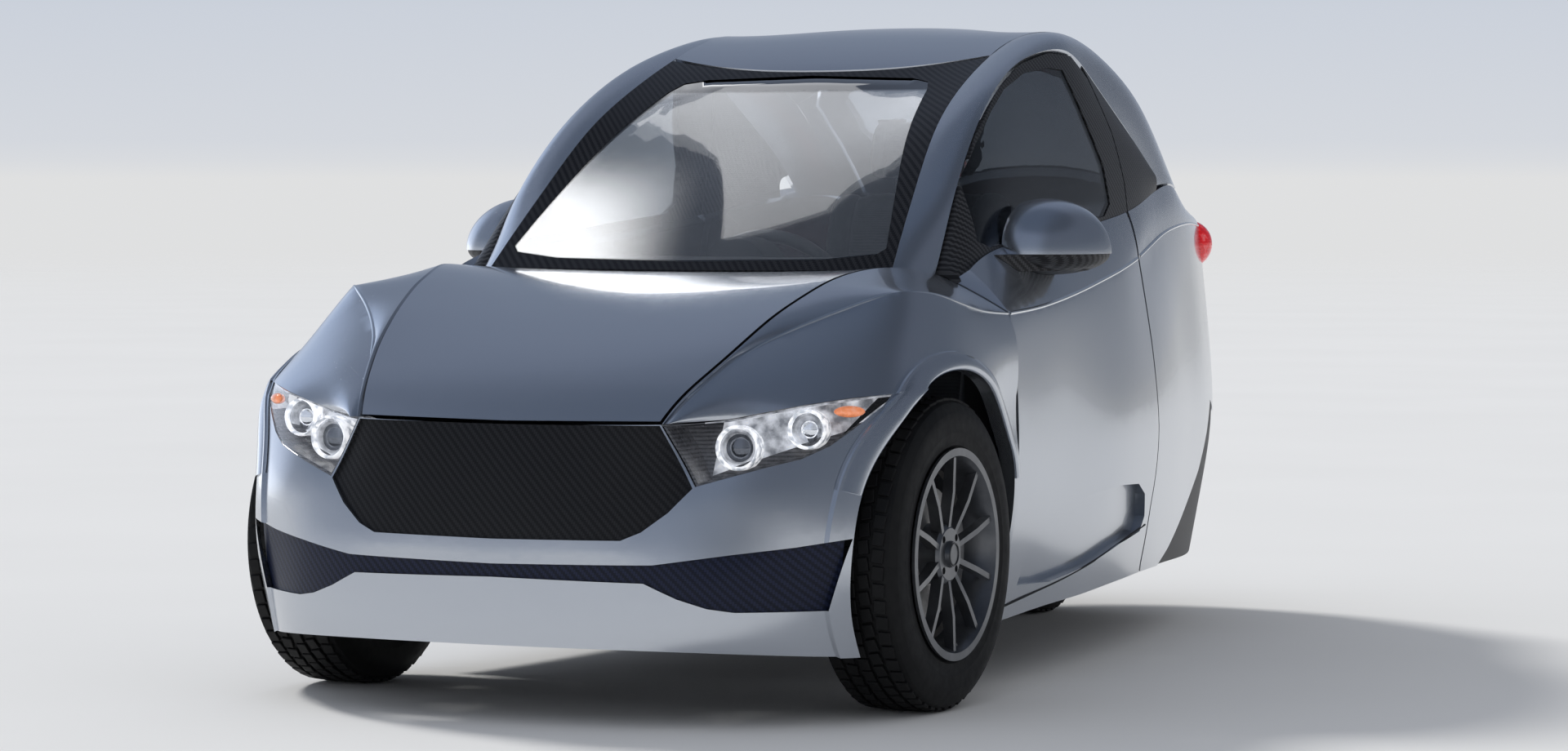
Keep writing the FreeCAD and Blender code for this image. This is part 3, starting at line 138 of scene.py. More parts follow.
# Section of a ring: place along the lamp's axis, share of the ring's radius
BEZEL_SECTION = [(-0.034, 0.98), (-0.030, 1.02), (0.003, 1.04), (0.007, 1.03), (0.010, 0.99), (0.010, 0.94),
                 (0.007, 0.89), (0.002, 0.86), (-0.006, 0.84), (-0.014, 0.76)]
# The domed glass in a ring: its depth, and its share of the ring's radius
DOME_STEPS = 8
DOME_DEPTH = 0.016
DOME_SHARE = 0.80
# The amber indicator: place, turn about Z, half sizes
AMBER_PLACE = Vector((0.618, -1.300, 0.586))
AMBER_TURN = math.radians(-52)
AMBER_SIZE = (0.012, 0.030, 0.011)
# The housing is dark below a slanting line and inside a place across
STRIP_SLOPE = 0.40
STRIP_LEVEL = 0.311
SMOKED_UP_TO = 0.388
RIB_RATE = 420.0

# Mirror glass: margins to its mirror's sides and foot, shift toward the car, depth in the back, thickness
MIRROR_SIDE_MARGIN = 0.014
MIRROR_FOOT = 0.010
MIRROR_SHIFT = 0.010
MIRROR_INSET = 0.0045
MIRROR_THICKNESS = 0.002

# Height of the lower edge of the windscreen's printed band, and how sharp that edge is
BAND_LEVEL = 1.203
BAND_EDGE = 400.0

# The creases of the left side, front to back; bright strips along them are painted highlights, standing in
# for the light the creases catch
BELT_LINE = [
    (0.349, -1.432, 0.613), (0.398, -1.305, 0.690), (0.455, -1.210, 0.733), (0.520, -1.125, 0.769),
    (0.580, -1.060, 0.797), (0.618, -1.010, 0.803), (0.641, -0.950, 0.797), (0.654, -0.880, 0.781),
    (0.661, -0.800, 0.764), (0.664, -0.725, 0.756), (0.663, -0.648, 0.753)]
DOOR_LINE = [
    (0.663, -0.638, 0.753), (0.656, -0.500, 0.757), (0.645, -0.340, 0.770), (0.625, -0.160, 0.787),
    (0.601, 0.030, 0.808), (0.578, 0.200, 0.827), (0.553, 0.340, 0.845)]
QUARTER_LINE = [
    (0.551, 0.372, 0.850), (0.525, 0.480, 0.867), (0.492, 0.660, 0.899), (0.458, 0.850, 0.914),
    (0.416, 1.040, 0.917), (0.366, 1.215, 0.908)]
# Names, courses, panels and radii of the painted highlight strips
CREASE_HIGHLIGHTS = [("fender_highlight", BELT_LINE, "fender", 0.0030), ("door_highlight", DOOR_LINE, "door", 0.0040),
                ("quarter_highlight", QUARTER_LINE, "quarter", 0.0036)]
# The dark seam above the left door's sill
SILL_SEAM = [(0.640, -0.600, 0.165), (0.640, -0.450, 0.178), (0.640, -0.280, 0.195), (0.630, -0.080, 0.219),
             (0.600, 0.140, 0.246), (0.580, 0.310, 0.270)]
SEAM_RADIUS = 0.0022

# Widths of one carbon tow and of one thread of the seat's cloth
TOW = 0.0042
THREAD = 0.0016


# Materials

def colour_ramp(tree, factor, stops):
    made = tree.nodes.new("ShaderNodeValToRGB")
    elements = made.color_ramp.elements
    while len(elements) < len(stops):
        elements.new(0.5)
    for element, (place, colour) in zip(elements, stops):
        element.position = place
        element.color = (*colour, 1.0)
    tree.links.new(factor, made.inputs[0])
    return made.outputs[0]


def map_range(tree, value, start, end, low, high, kind="SMOOTHSTEP"):
    made = tree.nodes.new("ShaderNodeMapRange")
    made.interpolation_type = kind
    for socket, number in zip(("From Min", "From Max", "To Min", "To Max"), (start, end, low, high)):
        made.inputs[socket].default_value = number
    tree.links.new(value, made.inputs["Value"])
    return made.outputs[0]


class Material:
    """A principled material whose colour, roughness and bump come from small node groups."""

    def __init__(self, name, colour, roughness, metallic=0.0, **sockets):
        self.data = bpy.data.materials.new(name)
        self.data.use_nodes = True
        self.tree = self.data.node_tree
        self.shader = self.tree.nodes["Principled BSDF"]
        self.set("Base Color", (*colour, 1.0))
        self.set("Roughness", roughness)
        self.set("Metallic", metallic)
        for socket, value in sockets.items():
            self.set(socket.replace("_", " "), value)
        self.place = self.node("ShaderNodeTexCoord").outputs["Object"]

    def set(self, socket, value):
        self.shader.inputs[socket].default_value = value

    def node(self, kind, **values):
        made = self.tree.nodes.new(kind)
        for key, value in values.items():
            setattr(made, key, value)
        return made

    def link(self, out, socket):
        self.tree.links.new(out, socket)

    def math(self, operation, first, second=0.0, third=0.0):
        made = self.node("ShaderNodeMath", operation=operation)
        for socket, value in zip(made.inputs, (first, second, third)):
            if isinstance(value, (int, float)):
                socket.default_value = value
            else:
                self.link(value, socket)
        return made.outputs[0]

    def axes(self):
        split = self.node("ShaderNodeSeparateXYZ")
        self.link(self.place, split.inputs[0])
        return split.outputs

    def noise(self, scale, detail):
        made = self.node("ShaderNodeTexNoise")
        made.inputs["Scale"].default_value = scale
        made.inputs["Detail"].default_value = detail
        self.link(self.place, made.inputs["Vector"])
        return made.outputs["Fac"]

    def ramp(self, factor, stops):
        return colour_ramp(self.tree, factor, stops)

    def spread(self, factor, low, high):
        return map_range(self.tree, factor, 0.0, 1.0, low, high, "LINEAR")

    def mix(self, factor, first, second):
        made = self.node("ShaderNodeMix", data_type="RGBA")
        for socket, value in ((0, factor), (6, first), (7, second)):
            self.link(value, made.inputs[socket])
        return made.outputs[2]

    def bump(self, height, distance, strength):
        made = self.node("ShaderNodeBump")
        made.inputs["Strength"].default_value = strength
        made.inputs["Distance"].default_value = distance
        self.link(height, made.inputs["Height"])
        self.link(made.outputs[0], self.shader.inputs["Normal"])

    def vary_colour(self, factor, stops):
        self.link(self.ramp(factor, stops), self.shader.inputs["Base Color"])

    def vary_roughness(self, factor, low, high):
        self.link(self.spread(factor, low, high), self.shader.inputs["Roughness"])


def metallic_paint(name, colour):
    """Silver base coat with fine flake under a clear coat."""
    made = Material(name, colour, 0.22, 0.90, Coat_Weight=0.6, Coat_Roughness=0.04, Coat_IOR=1.5)
    flake = made.noise(1400.0, 1.0)
    darker = tuple(c * 0.93 for c in colour)
    lighter = tuple(min(1.0, c * 1.06) for c in colour)
    made.vary_colour(flake, [(0.35, darker), (0.65, lighter)])
    made.vary_roughness(made.noise(3.0, 3.0), 0.19, 0.26)
    made.bump(made.noise(60.0, 2.0), 0.00001, 0.1)
    return made.data


def carbon_twill(name, across, along, dark, light, coat=0.12):
    """Two over, two under: the weave runs on a pair of axes, given as X, Y or Z."""
    made = Material(name, dark, 0.45, 0.0, Coat_Weight=coat, Coat_Roughness=0.10, Specular_IOR_Level=0.18)
    axes = dict(zip("XYZ", made.axes()))
    u = made.math("DIVIDE", axes[across], TOW)
    v = made.math("DIVIDE", axes[along], TOW)
    warp = made.math("FLOOR", u)
    weft = made.math("FLOOR", v)
    # 4000 more keeps the count above zero everywhere on the car
    count = made.math("ADD", made.math("ADD", warp, weft), 4000.0)
    step = made.math("MODULO", count, 4.0)
    over = made.math("LESS_THAN", step, 1.5)
    under = made.math("SUBTRACT", 1.0, over)
    crown_u = made.math("SINE", made.math("MULTIPLY", made.math("FRACT", u), math.pi))
    crown_v = made.math("SINE", made.math("MULTIPLY", made.math("FRACT", v), math.pi))
    height = made.math("ADD", made.math("MULTIPLY", over, crown_u), made.math("MULTIPLY", under, crown_v))
    shade = made.math("MULTIPLY_ADD", over, 0.62, made.math("MULTIPLY", height, 0.3))
    made.vary_colour(shade, [(0.0, dark), (1.0, light)])
    made.bump(height, 0.0005, 0.5)
    return made.data


def windscreen_glass(name, colour):
    """Coated glass that mirrors what stands over it, with a black printed band along its top edge."""
    made = Material(name, colour, 0.0, 0.0, Transmission_Weight=1.0, IOR=1.45, Coat_Weight=1.0, Coat_IOR=1.5)
    made.vary_roughness(made.noise(2.0, 2.0), 0.0, 0.015)
    edge = made.math("MULTIPLY", made.math("SUBTRACT", made.axes()[2], BAND_LEVEL), BAND_EDGE)
    made.vary_colour(edge, [(0.0, colour), (1.0, (0.002, 0.002, 0.002))])
    return made.data


def thin_glazing(name, colour, unevenness, blur):
    """A thin clear or tinted sheet that lets most light straight through."""
    made = Material(name, colour, 0.0, 0.0, Transmission_Weight=1.0, IOR=1.3)
    made.vary_roughness(made.noise(unevenness, 2.0), 0.0, blur)
    return made.data


def grained_plastic(name, colour, roughness, grain=900.0, depth=0.00015, sheen=0.0):
    made = Material(name, colour, roughness, 0.0, Sheen_Weight=sheen)
    cells = made.noise(grain, 3.0)
    lighter = tuple(min(1.0, c * 1.35 + 0.002) for c in colour)
    made.vary_colour(made.noise(9.0, 4.0), [(0.3, colour), (0.75, lighter)])
    made.vary_roughness(cells, roughness - 0.06, roughness + 0.08)
    made.bump(cells, depth, 0.7)
    return made.data


def tyre_rubber(name):
    made = Material(name, (0.006, 0.006, 0.0065), 0.62, Specular_IOR_Level=0.25)
    made.vary_colour(made.noise(14.0, 5.0), [(0.3, (0.004, 0.004, 0.0045)), (0.8, (0.010, 0.010, 0.010))])
    made.vary_roughness(made.noise(60.0, 3.0), 0.52, 0.74)
    made.bump(made.noise(1100.0, 2.0), 0.00012, 0.6)
    return made.data


def cast_metal(name, colour, roughness, metallic=0.9, grain=500.0, depth=0.00012):
    made = Material(name, colour, roughness, metallic)
    lighter = tuple(min(1.0, c * 1.25) for c in colour)
    made.vary_colour(made.noise(18.0, 4.0), [(0.3, colour), (0.75, lighter)])
    made.vary_roughness(made.noise(40.0, 3.0), roughness - 0.07, roughness + 0.1)
    made.bump(made.noise(grain, 2.0), depth, 0.5)
    return made.data


def wheel_finish(name, middle_x):
    """Grey alloy, with the brake disc behind the spokes in turned steel."""
    made = Material(name, (0.14, 0.145, 0.155), 0.34, 0.85, Coat_Weight=0.3, Coat_Roughness=0.12)
    out = made.math("ABSOLUTE", made.math("SUBTRACT", made.axes()[0], middle_x))
    disc = made.math("MULTIPLY", made.math("GREATER_THAN", out, DISC_LAYER[0]),
                     made.math("LESS_THAN", out, DISC_LAYER[1]))
    metal = made.ramp(made.noise(22.0, 4.0), [(0.3, (0.115, 0.12, 0.13)), (0.8, (0.18, 0.185, 0.195))])
    steel = made.ramp(made.noise(160.0, 3.0), [(0.3, (0.36, 0.35, 0.34)), (0.8, (0.50, 0.49, 0.47))])
    made.link(made.mix(disc, metal, steel), made.shader.inputs["Base Color"])
    made.vary_roughness(made.noise(50.0, 3.0), 0.27, 0.40)
    made.bump(made.noise(700.0, 2.0), 0.00006, 0.4)
    return made.data


def mirror_metal(name, colour, roughness):
    made = Material(name, colour, roughness, 1.0)
    made.vary_roughness(made.noise(30.0, 3.0), roughness, roughness + 0.06)
    made.bump(made.noise(90.0, 2.0), 0.0001, 0.15)
    return made.data


def lamp_housing(name):
    """Silvered bowl over a dark strip, with a smoked, ribbed band at the inner end. The housing glows
    faintly, the bowl most: painted light in its recess.
    """
    made = Material(name, (0.04, 0.04, 0.045), 0.25, 0.0, Coat_Weight=0.3, Coat_Roughness=0.1)
    x, _, z = made.axes()
    out = made.math("ABSOLUTE", x)
    over = made.math("SUBTRACT", z, made.math("MULTIPLY_ADD", out, STRIP_SLOPE, STRIP_LEVEL))
    bowl = made.math("MULTIPLY", made.math("GREATER_THAN", over, 0.0),
                     made.math("GREATER_THAN", out, SMOKED_UP_TO))
    bright = made.ramp(made.noise(38.0, 4.0), [(0.36, (0.20, 0.21, 0.23)), (0.66, (0.86, 0.87, 0.90))])
    ribs = made.math("ABSOLUTE", made.math("SINE", made.math("MULTIPLY", z, RIB_RATE)))
    smoked = made.ramp(ribs, [(0.2, (0.03, 0.03, 0.034)), (1.0, (0.11, 0.11, 0.12))])
    colour = made.mix(bowl, smoked, bright)
    made.link(colour, made.shader.inputs["Base Color"])
    # Painted light: the housing's own colour glows, weakly all over and strongest in the silvered bowl
    made.link(colour, made.shader.inputs["Emission Color"])
    made.link(made.spread(bowl, 0.03, 0.30), made.shader.inputs["Emission Strength"])
    made.vary_roughness(made.noise(60.0, 3.0), 0.2, 0.34)
    made.bump(ribs, 0.0006, 0.3)
    return made.data


def halo_ring(name):
    """White light guide round a projector, lit."""
    made = Material(name, (0.92, 0.93, 0.95), 0.15, 0.0, Coat_Weight=0.6, Coat_Roughness=0.05)
    glow = made.ramp(made.noise(85.0, 3.0), [(0.38, (0.22, 0.24, 0.27)), (0.56, (1.0, 1.0, 1.0))])
    made.link(glow, made.shader.inputs["Emission Color"])
    made.set("Emission Strength", 0.85)
    made.vary_roughness(made.noise(80.0, 2.0), 0.1, 0.22)
    return made.data


def lamp_plastic(name, colour, glow):
    """Moulded coloured lens with fine optic ribs."""
    made = Material(name, colour, 0.12, 0.0, Transmission_Weight=0.45, IOR=1.46, Coat_Weight=1.0,
                    Coat_Roughness=0.03)
    made.set("Emission Color", (*colour, 1.0))
    made.set("Emission Strength", glow)
    darker = tuple(c * 0.45 for c in colour)
    paler = tuple(0.45 + 0.55 * c for c in colour)
    made.vary_colour(made.noise(70.0, 3.0), [(0.3, darker), (0.55, colour), (0.72, paler)])
    ribs = made.math("SINE", made.math("MULTIPLY", made.axes()[2], 900.0))
    made.bump(ribs, 0.0004, 0.35)
    return made.data


def woven_fabric(name, colour):
    made = Material(name, colour, 0.9, 0.0, Sheen_Weight=0.4, Sheen_Roughness=0.5)
    axes = made.axes()
    rows = [made.math("ABSOLUTE", made.math("SINE", made.math("MULTIPLY", axis, math.pi / THREAD)))
            for axis in axes]
    height = made.math("MULTIPLY", rows[0], made.math("ADD", rows[1], rows[2]))
    lighter = tuple(min(1.0, c * 2.2 + 0.01) for c in colour)
    made.vary_colour(made.math("MULTIPLY", height, made.noise(35.0, 3.0)), [(0.0, colour), (0.8, lighter)])
    made.bump(height, 0.0004, 0.6)
    return made.data


def stitched_leather(name, colour):
    made = Material(name, colour, 0.5, 0.0, Coat_Weight=0.15, Coat_Roughness=0.4)
    cells = made.node("ShaderNodeTexVoronoi", feature="DISTANCE_TO_EDGE")
    cells.inputs["Scale"].default_value = 420.0
    made.link(made.place, cells.inputs["Vector"])
    lighter = tuple(min(1.0, c * 1.5 + 0.004) for c in colour)
    made.vary_colour(made.noise(12.0, 4.0), [(0.3, colour), (0.8, lighter)])
    made.vary_roughness(made.noise(80.0, 3.0), 0.42, 0.6)
    made.bump(cells.outputs["Distance"], 0.0006, 0.5)
    return made.data


PAINT = metallic_paint("silver paint", (0.52, 0.55, 0.60))
GRILLE_CARBON = carbon_twill("grille carbon", "X", "Z", (0.003, 0.003, 0.0035), (0.020, 0.020, 0.022))
NAVY_CARBON = carbon_twill("intake carbon", "X", "Z", (0.003, 0.005, 0.013), (0.014, 0.020, 0.052))
SIDE_CARBON = carbon_twill("side carbon", "Y", "Z", (0.005, 0.005, 0.006), (0.060, 0.061, 0.066))
SCREEN_CARBON = carbon_twill("screen surround carbon", "X", "Y", (0.003, 0.003, 0.004), (0.026, 0.026, 0.029))
TAIL_CARBON = carbon_twill("lower tail carbon", "Y", "Z", (0.010, 0.010, 0.011), (0.060, 0.060, 0.064),
                           coat=0.0)
SCREEN_GLASS = windscreen_glass("windscreen glass", (0.86, 0.88, 0.90))
SIDE_GLASS = thin_glazing("side glass", (0.24, 0.26, 0.285), 2.0, 0.015)
LENS = thin_glazing("lamp cover", (0.97, 0.98, 1.0), 6.0, 0.02)
LAMP_HOUSING = lamp_housing("lamp housing")
LAMP_CHROME = mirror_metal("lamp chrome", (0.92, 0.93, 0.95), 0.06)
HALO = halo_ring("lamp ring")
DARK_GLASS = mirror_metal("projector glass", (0.16, 0.17, 0.19), 0.08)
RED_LENS = lamp_plastic("red lens", (0.70, 0.010, 0.014), 0.30)
AMBER_LENS = lamp_plastic("amber lens", (0.95, 0.36, 0.16), 0.28)
BLACK_PLASTIC = grained_plastic("black plastic", (0.014, 0.014, 0.015), 0.5)
DASH_PLASTIC = grained_plastic("dashboard skin", (0.009, 0.009, 0.010), 0.62, 650.0, 0.0002, 0.05)
RIM_LEATHER = stitched_leather("steering rim leather", (0.012, 0.012, 0.013))
SEAT_CLOTH = woven_fabric("seat cloth", (0.018, 0.019, 0.022))
STRUCTURE = cast_metal("structure coat", (0.030, 0.031, 0.034), 0.52, 0.2, 350.0, 0.0002)
BATTERY_CASE = cast_metal("battery case", (0.10, 0.11, 0.12), 0.5, 0.4)
BARE_CAST = cast_metal("cast alloy", (0.30, 0.30, 0.30), 0.48)
DARK_STEEL = cast_metal("dark steel", (0.075, 0.077, 0.080), 0.42, 0.8)
RUBBER = tyre_rubber("tyre rubber")
# Painted highlight: bright metal for the strips laid along the creases, where the panels catch the light
CREASE_HIGHLIGHT = mirror_metal("painted crease highlight", (0.80, 0.82, 0.84), 0.2)
MIRROR_GLASS = mirror_metal("mirror glass", (0.85, 0.88, 0.92), 0.02)
SEAL_RUBBER = grained_plastic("seal rubber", (0.010, 0.010, 0.010), 0.7, 500.0, 0.0001)

FINISHES = {
    "bumper": PAINT, "hood": PAINT, "fender": PAINT, "door": PAINT, "quarter": PAINT, "roof": PAINT,
    "roof_rails": PAINT, "tail_frame": PAINT, "tailgate": PAINT, "rear_bumper": PAINT, "mirror": PAINT,
    "grille": GRILLE_CARBON, "lower_intake": NAVY_CARBON, "windscreen_frame": SCREEN_CARBON,
    "door_frame": SIDE_CARBON, "quarter_trims": SIDE_CARBON, "mirror_base": SIDE_CARBON,
    "diffuser": TAIL_CARBON, "windscreen": SCREEN_GLASS, "rear_window": SIDE_GLASS,
    "door_glass": SIDE_GLASS, "headlamp_lenses": LENS, "headlamp_units": LAMP_HOUSING,
    "tail_lamps": RED_LENS, "cowl": BLACK_PLASTIC, "dashboard": DASH_PLASTIC,
    "steering_wheel": RIM_LEATHER, "seat": SEAT_CLOTH, "tub": STRUCTURE, "battery": BATTERY_CASE,
    "motor": BARE_CAST, "front_suspension": DARK_STEEL, "swingarm": DARK_STEEL, "knuckle": BARE_CAST,
    "front_tyre": RUBBER, "rear_tyre": RUBBER,
}


# The carried-over nodes

def smoothing_group(angle):
    """Joins a node's loose triangles and shades it smooth, but for its edges over an angle."""
    group = bpy.data.node_groups.new("joined and smooth", "GeometryNodeTree")
    group.interface.new_socket("Geometry", in_out="INPUT", socket_type="NodeSocketGeometry")
    group.interface.new_socket("Geometry", in_out="OUTPUT", socket_type="NodeSocketGeometry")
    start = group.nodes.new("NodeGroupInput")
    end = group.nodes.new("NodeGroupOutput")
    merge = group.nodes.new("GeometryNodeMergeByDistance")
    merge.inputs["Distance"].default_value = 0.00001
    faces = group.nodes.new("GeometryNodeSetShadeSmooth")
    faces.domain = "FACE"
    edges = group.nodes.new("GeometryNodeSetShadeSmooth")
    edges.domain = "EDGE"
    edges.inputs["Shade Smooth"].default_value = False
    bend = group.nodes.new("GeometryNodeInputMeshEdgeAngle")
    sharp = group.nodes.new("FunctionNodeCompare")
    sharp.operation = "GREATER_THAN"
    sharp.inputs[1].default_value = angle
    group.links.new(start.outputs[0], merge.inputs[0])
    group.links.new(merge.outputs[0], faces.inputs[0])
    group.links.new(faces.outputs[0], edges.inputs[0])
    group.links.new(bend.outputs[0], sharp.inputs[0])
    group.links.new(sharp.outputs[0], edges.inputs["Selection"])
    group.links.new(edges.outputs[0], end.inputs[0])
    return group


def finish_nodes():
    group = smoothing_group(SHARP)
    for name, node in NODES.items():
        kind = name.removesuffix("_left").removesuffix("_right")
        node.data.materials.clear()
        if kind.endswith("rim"):
            lo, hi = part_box(name)
            node.data.materials.append(wheel_finish(name + " alloy", (lo.x + hi.x) / 2))
        else:
            node.data.materials.append(FINISHES[kind])
        smooth = node.modifiers.new("joined and smooth", "NODES")
        smooth.node_group = group


# Shapes

def add_piece(name, bm, material, body, angle=SHARP):
    """A finished mesh becomes a piece that rides on a body."""
    bmesh.ops.remove_doubles(bm, verts=bm.verts, dist=0.000005)
    bmesh.ops.recalc_face_normals(bm, faces=bm.faces)
    for face in bm.faces:
        face.smooth = True
    for edge in bm.edges:
        edge.smooth = len(edge.link_faces) == 2 and edge.calc_face_angle(0.0) < angle
    mesh = bpy.data.meshes.new(name)
    bm.to_mesh(mesh)
    bm.free()
    mesh.materials.append(material)
    piece = bpy.data.objects.new(name, mesh)
    bpy.context.scene.collection.objects.link(piece)
    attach(piece, body)
    return piece


def turned(bm, profile, steps, closed=False):
    """Spin a profile of (across, radius) about the X axis."""
    verts = [bm.verts.new((across, 0.0, radius)) for across, radius in profile]
    ends = verts[1:] + verts[:1] if closed else verts[1:]
    edges = [bm.edges.new(pair) for pair in zip(verts, ends)]
    bmesh.ops.spin(bm, geom=verts + edges, cent=(0, 0, 0), axis=(1, 0, 0), angle=math.tau, steps=steps,
                   use_merge=True)


def aim(axis, place):
    """Turns the X axis onto a direction and moves to a place."""
    return Matrix.Translation(place) @ axis.to_track_quat("X", "Z").to_matrix().to_4x4()


def flipped(point):
    return Vector((-point.x, point.y, point.z))


def block(bm, size, matrix, bevel, segments=1):
    """A box with bevelled edges."""
    made = bmesh.ops.create_cube(bm, size=1.0)
    scale = Matrix.Diagonal((*size, 1.0))
    bmesh.ops.transform(bm, matrix=matrix @ scale, verts=made["verts"])
    edges = list({edge for vert in made["verts"] for edge in vert.link_edges})
    bmesh.ops.bevel(bm, geom=edges, offset=bevel, offset_type="OFFSET", segments=segments, profile=0.5,
                    affect="EDGES", material=-1, clamp_overlap=True)


def cone(bm, segments, foot, top, depth, matrix):
    """A closed cone or cylinder, given by its two radii and its height along Z before the matrix."""
    made = bmesh.ops.create_cone(bm, cap_ends=True, segments=segments, radius1=foot, radius2=top, depth=depth)
    bmesh.ops.transform(bm, matrix=matrix, verts=made["verts"])


def tube(name, points, radius, material, body):
    """A thin strip along a smooth line, as a mesh."""
    curve = bpy.data.curves.new(name, "CURVE")
    curve.dimensions = "3D"
    curve.bevel_depth = radius
    curve.bevel_resolution = 3
    curve.use_fill_caps = True
    spline = curve.splines.new("NURBS")
    spline.points.add(len(points) - 1)
    for point, place in zip(spline.points, points):
        point.co = (*place, 1.0)
    spline.order_u = 3
    spline.use_endpoint_u = True
    spline.resolution_u = 8
    maker = bpy.data.objects.new(name, curve)
    bpy.context.scene.collection.objects.link(maker)
    bpy.context.view_layer.update()
    mesh = bpy.data.meshes.new_from_object(maker.evaluated_get(bpy.context.evaluated_depsgraph_get()))
    bpy.data.objects.remove(maker)
    bm = bmesh.new()
    bm.from_mesh(mesh)
    bpy.data.meshes.remove(mesh)
    return add_piece(name, bm, material, body)


# Wheels

def middle_of(node):
    lo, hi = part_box(node)
    return (lo + hi) / 2


def tyre(name, node, body):
    """Carcass with bead, sidewall lines and shoulders, and five rows of tread blocks."""
    section = [(-across, radius) for across, radius in reversed(TYRE_SECTION[1:])] + TYRE_SECTION
    bm = bmesh.new()
    turned(bm, section, 120, closed=True)
    pitch = math.tau / TREAD_PITCHES
    height = TYRE_RADIUS - TREAD_FLOOR + BLOCK_ROOT
    for across, width, skew, shift in TREAD_ROWS:
        on_shoulder = abs(across) > SHOULDER_FROM
        drop = SHOULDER_DROP if on_shoulder else CROWN_DROP
        tilt = math.copysign(SHOULDER_TILT, across) if on_shoulder else 0.0
        length = TYRE_RADIUS * pitch * (BLOCK_SHARE if across else MIDDLE_BLOCK_SHARE)
        place = Matrix.Translation((across, 0.0, TYRE_RADIUS - drop - height / 2))
        turn = Matrix.Rotation(tilt, 4, "Y") @ Matrix.Rotation(skew, 4, "Z")
        for i in range(TREAD_PITCHES):
            around = Matrix.Rotation((i + shift) * pitch, 4, "X")
            block(bm, (width, length, height), around @ place @ turn, BLOCK_BEVEL)
    bmesh.ops.transform(bm, matrix=Matrix.Translation(middle_of(node)), verts=bm.verts)
    piece = add_piece(name, bm, RUBBER, body)
    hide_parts(node)


def wheel_fittings(name, node, body, side):
    """Four nuts in their holes, the bare middle cap's ring and the valve."""
    bm = bmesh.new()
    for i in range(LUG_COUNT):
        angle = math.radians(45 + i * 360.0 / LUG_COUNT)
        place = Vector((WHEEL_FACE - LUG_RECESS, LUG_CIRCLE_RADIUS * math.cos(angle),
                        LUG_CIRCLE_RADIUS * math.sin(angle)))
        stand = aim(Vector((1, 0, 0)), place) @ Matrix.Rotation(math.pi / 2, 4, "Y")
        cone(bm, 6, *LUG_RADII, LUG_DEPTH, stand)
    turned(bm, [(WHEEL_FACE + across, radius) for across, radius in CAP_RING], 48)
    stand = Matrix.Translation(VALVE_PLACE) @ Matrix.Rotation(VALVE_TURN, 4, "Y")
    cone(bm, 12, *VALVE_RADII, VALVE_LENGTH, stand)
    if side < 0:
        bmesh.ops.scale(bm, vec=(-1, 1, 1), verts=bm.verts)
    bmesh.ops.transform(bm, matrix=Matrix.Translation(middle_of(node)), verts=bm.verts)
    add_piece(name, bm, DARK_STEEL, body)


def wheels():
    for side, word in SIDES:
        tyre("road_tyre_" + word, "front_tyre_" + word, "wheel_" + word)
        wheel_fittings("wheel_fittings_" + word, "front_rim_" + word, "wheel_" + word, side)
    tyre("road_tyre_rear", "rear_tyre", "wheel_rear")
    wheel_fittings("wheel_fittings_rear", "rear_rim", "wheel_rear", 1)


# Seat

CUSHION = [(-0.150, 0.352), (-0.163, 0.400), (-0.150, 0.436), (-0.110, 0.447), (0.050, 0.436), (0.240, 0.427),
           (0.270, 0.420), (0.274, 0.352), (0.060, 0.348)]
SEAT_BACK = [(0.283, 0.470), (0.300, 0.560), (0.335, 0.715), (0.380, 0.925), (0.405, 0.975), (0.440, 0.990),
             (0.468, 0.975), (0.476, 0.940), (0.448, 0.760), (0.400, 0.580), (0.362, 0.470), (0.320, 0.460)]
HEAD_REST = [(0.412, 1.024), (0.420, 1.090), (0.440, 1.145), (0.470, 1.162), (0.500, 1.150), (0.508, 1.110),
             (0.498, 1.040), (0.455, 1.018)]
# Posts of the head rest, and the links between cushion and back, on one side
POST_PLACE = (0.07, 0.458, 1.005)
POST_RADIUS = 0.006
POST_LENGTH = 0.09
LINK_PLACE = (0.165, 0.290, 0.445)
LINK_SIZE = (0.022, 0.110, 0.050)
LINK_BEVEL = 0.004
# The bolsters stand out on the part of a section that lies this far or more toward the sitter
BOLSTER_FROM = 0.010
# How far out a station lies, how much its section shrinks, and how far the side bolster stands out there
PAD_STATIONS = [(1.0, 0.70, 0.0), (0.985, 0.88, 0.3), (0.94, 0.97, 0.75), (0.86, 1.0, 1.0), (0.78, 1.0, 0.85),
                (0.735, 0.985, 0.25), (0.72, 0.965, 0.0), (0.705, 0.985, 0.05), (0.60, 1.0, 0.0),
                (0.30, 1.0, 0.0), (0.0, 1.0, 0.0)]


def ring(bm, points):
    verts = [bm.verts.new(point) for point in points]
    return [bm.edges.new(pair) for pair in zip(verts, verts[1:] + verts[:1])]


def pad(name, section, half_width, bolster):
    """A stuffed form: its section runs from side to side, with a sewn seam inside each bolster."""
    middle = Vector((0.0, *[sum(values) / len(section) for values in zip(*section)]))
    stations = PAD_STATIONS + [(-out, size, lift) for out, size, lift in reversed(PAD_STATIONS[:-1])]
    bm = bmesh.new()
    rings = []
    for out, size, lift in stations:
        points = []
        for y, z in section:
            point = middle + (Vector((0.0, y, z)) - middle) * size
            toward_sitter = max(0.0, (point - middle).dot(bolster.normalized()))
            raised = bolster * lift if toward_sitter > BOLSTER_FROM else Vector()
            points.append(point + raised + Vector((out * half_width, 0.0, 0.0)))
        rings.append(ring(bm, points))
    for near, far in zip(rings, rings[1:]):
        bmesh.ops.bridge_loops(bm, edges=near + far)
    bmesh.ops.holes_fill(bm, edges=rings[0] + rings[-1], sides=len(section))
    piece = add_piece(name, bm, SEAT_CLOTH, "body", math.pi)
    soft = piece.modifiers.new("rounded", "SUBSURF")
    soft.levels = soft.render_levels = 2
    return piece


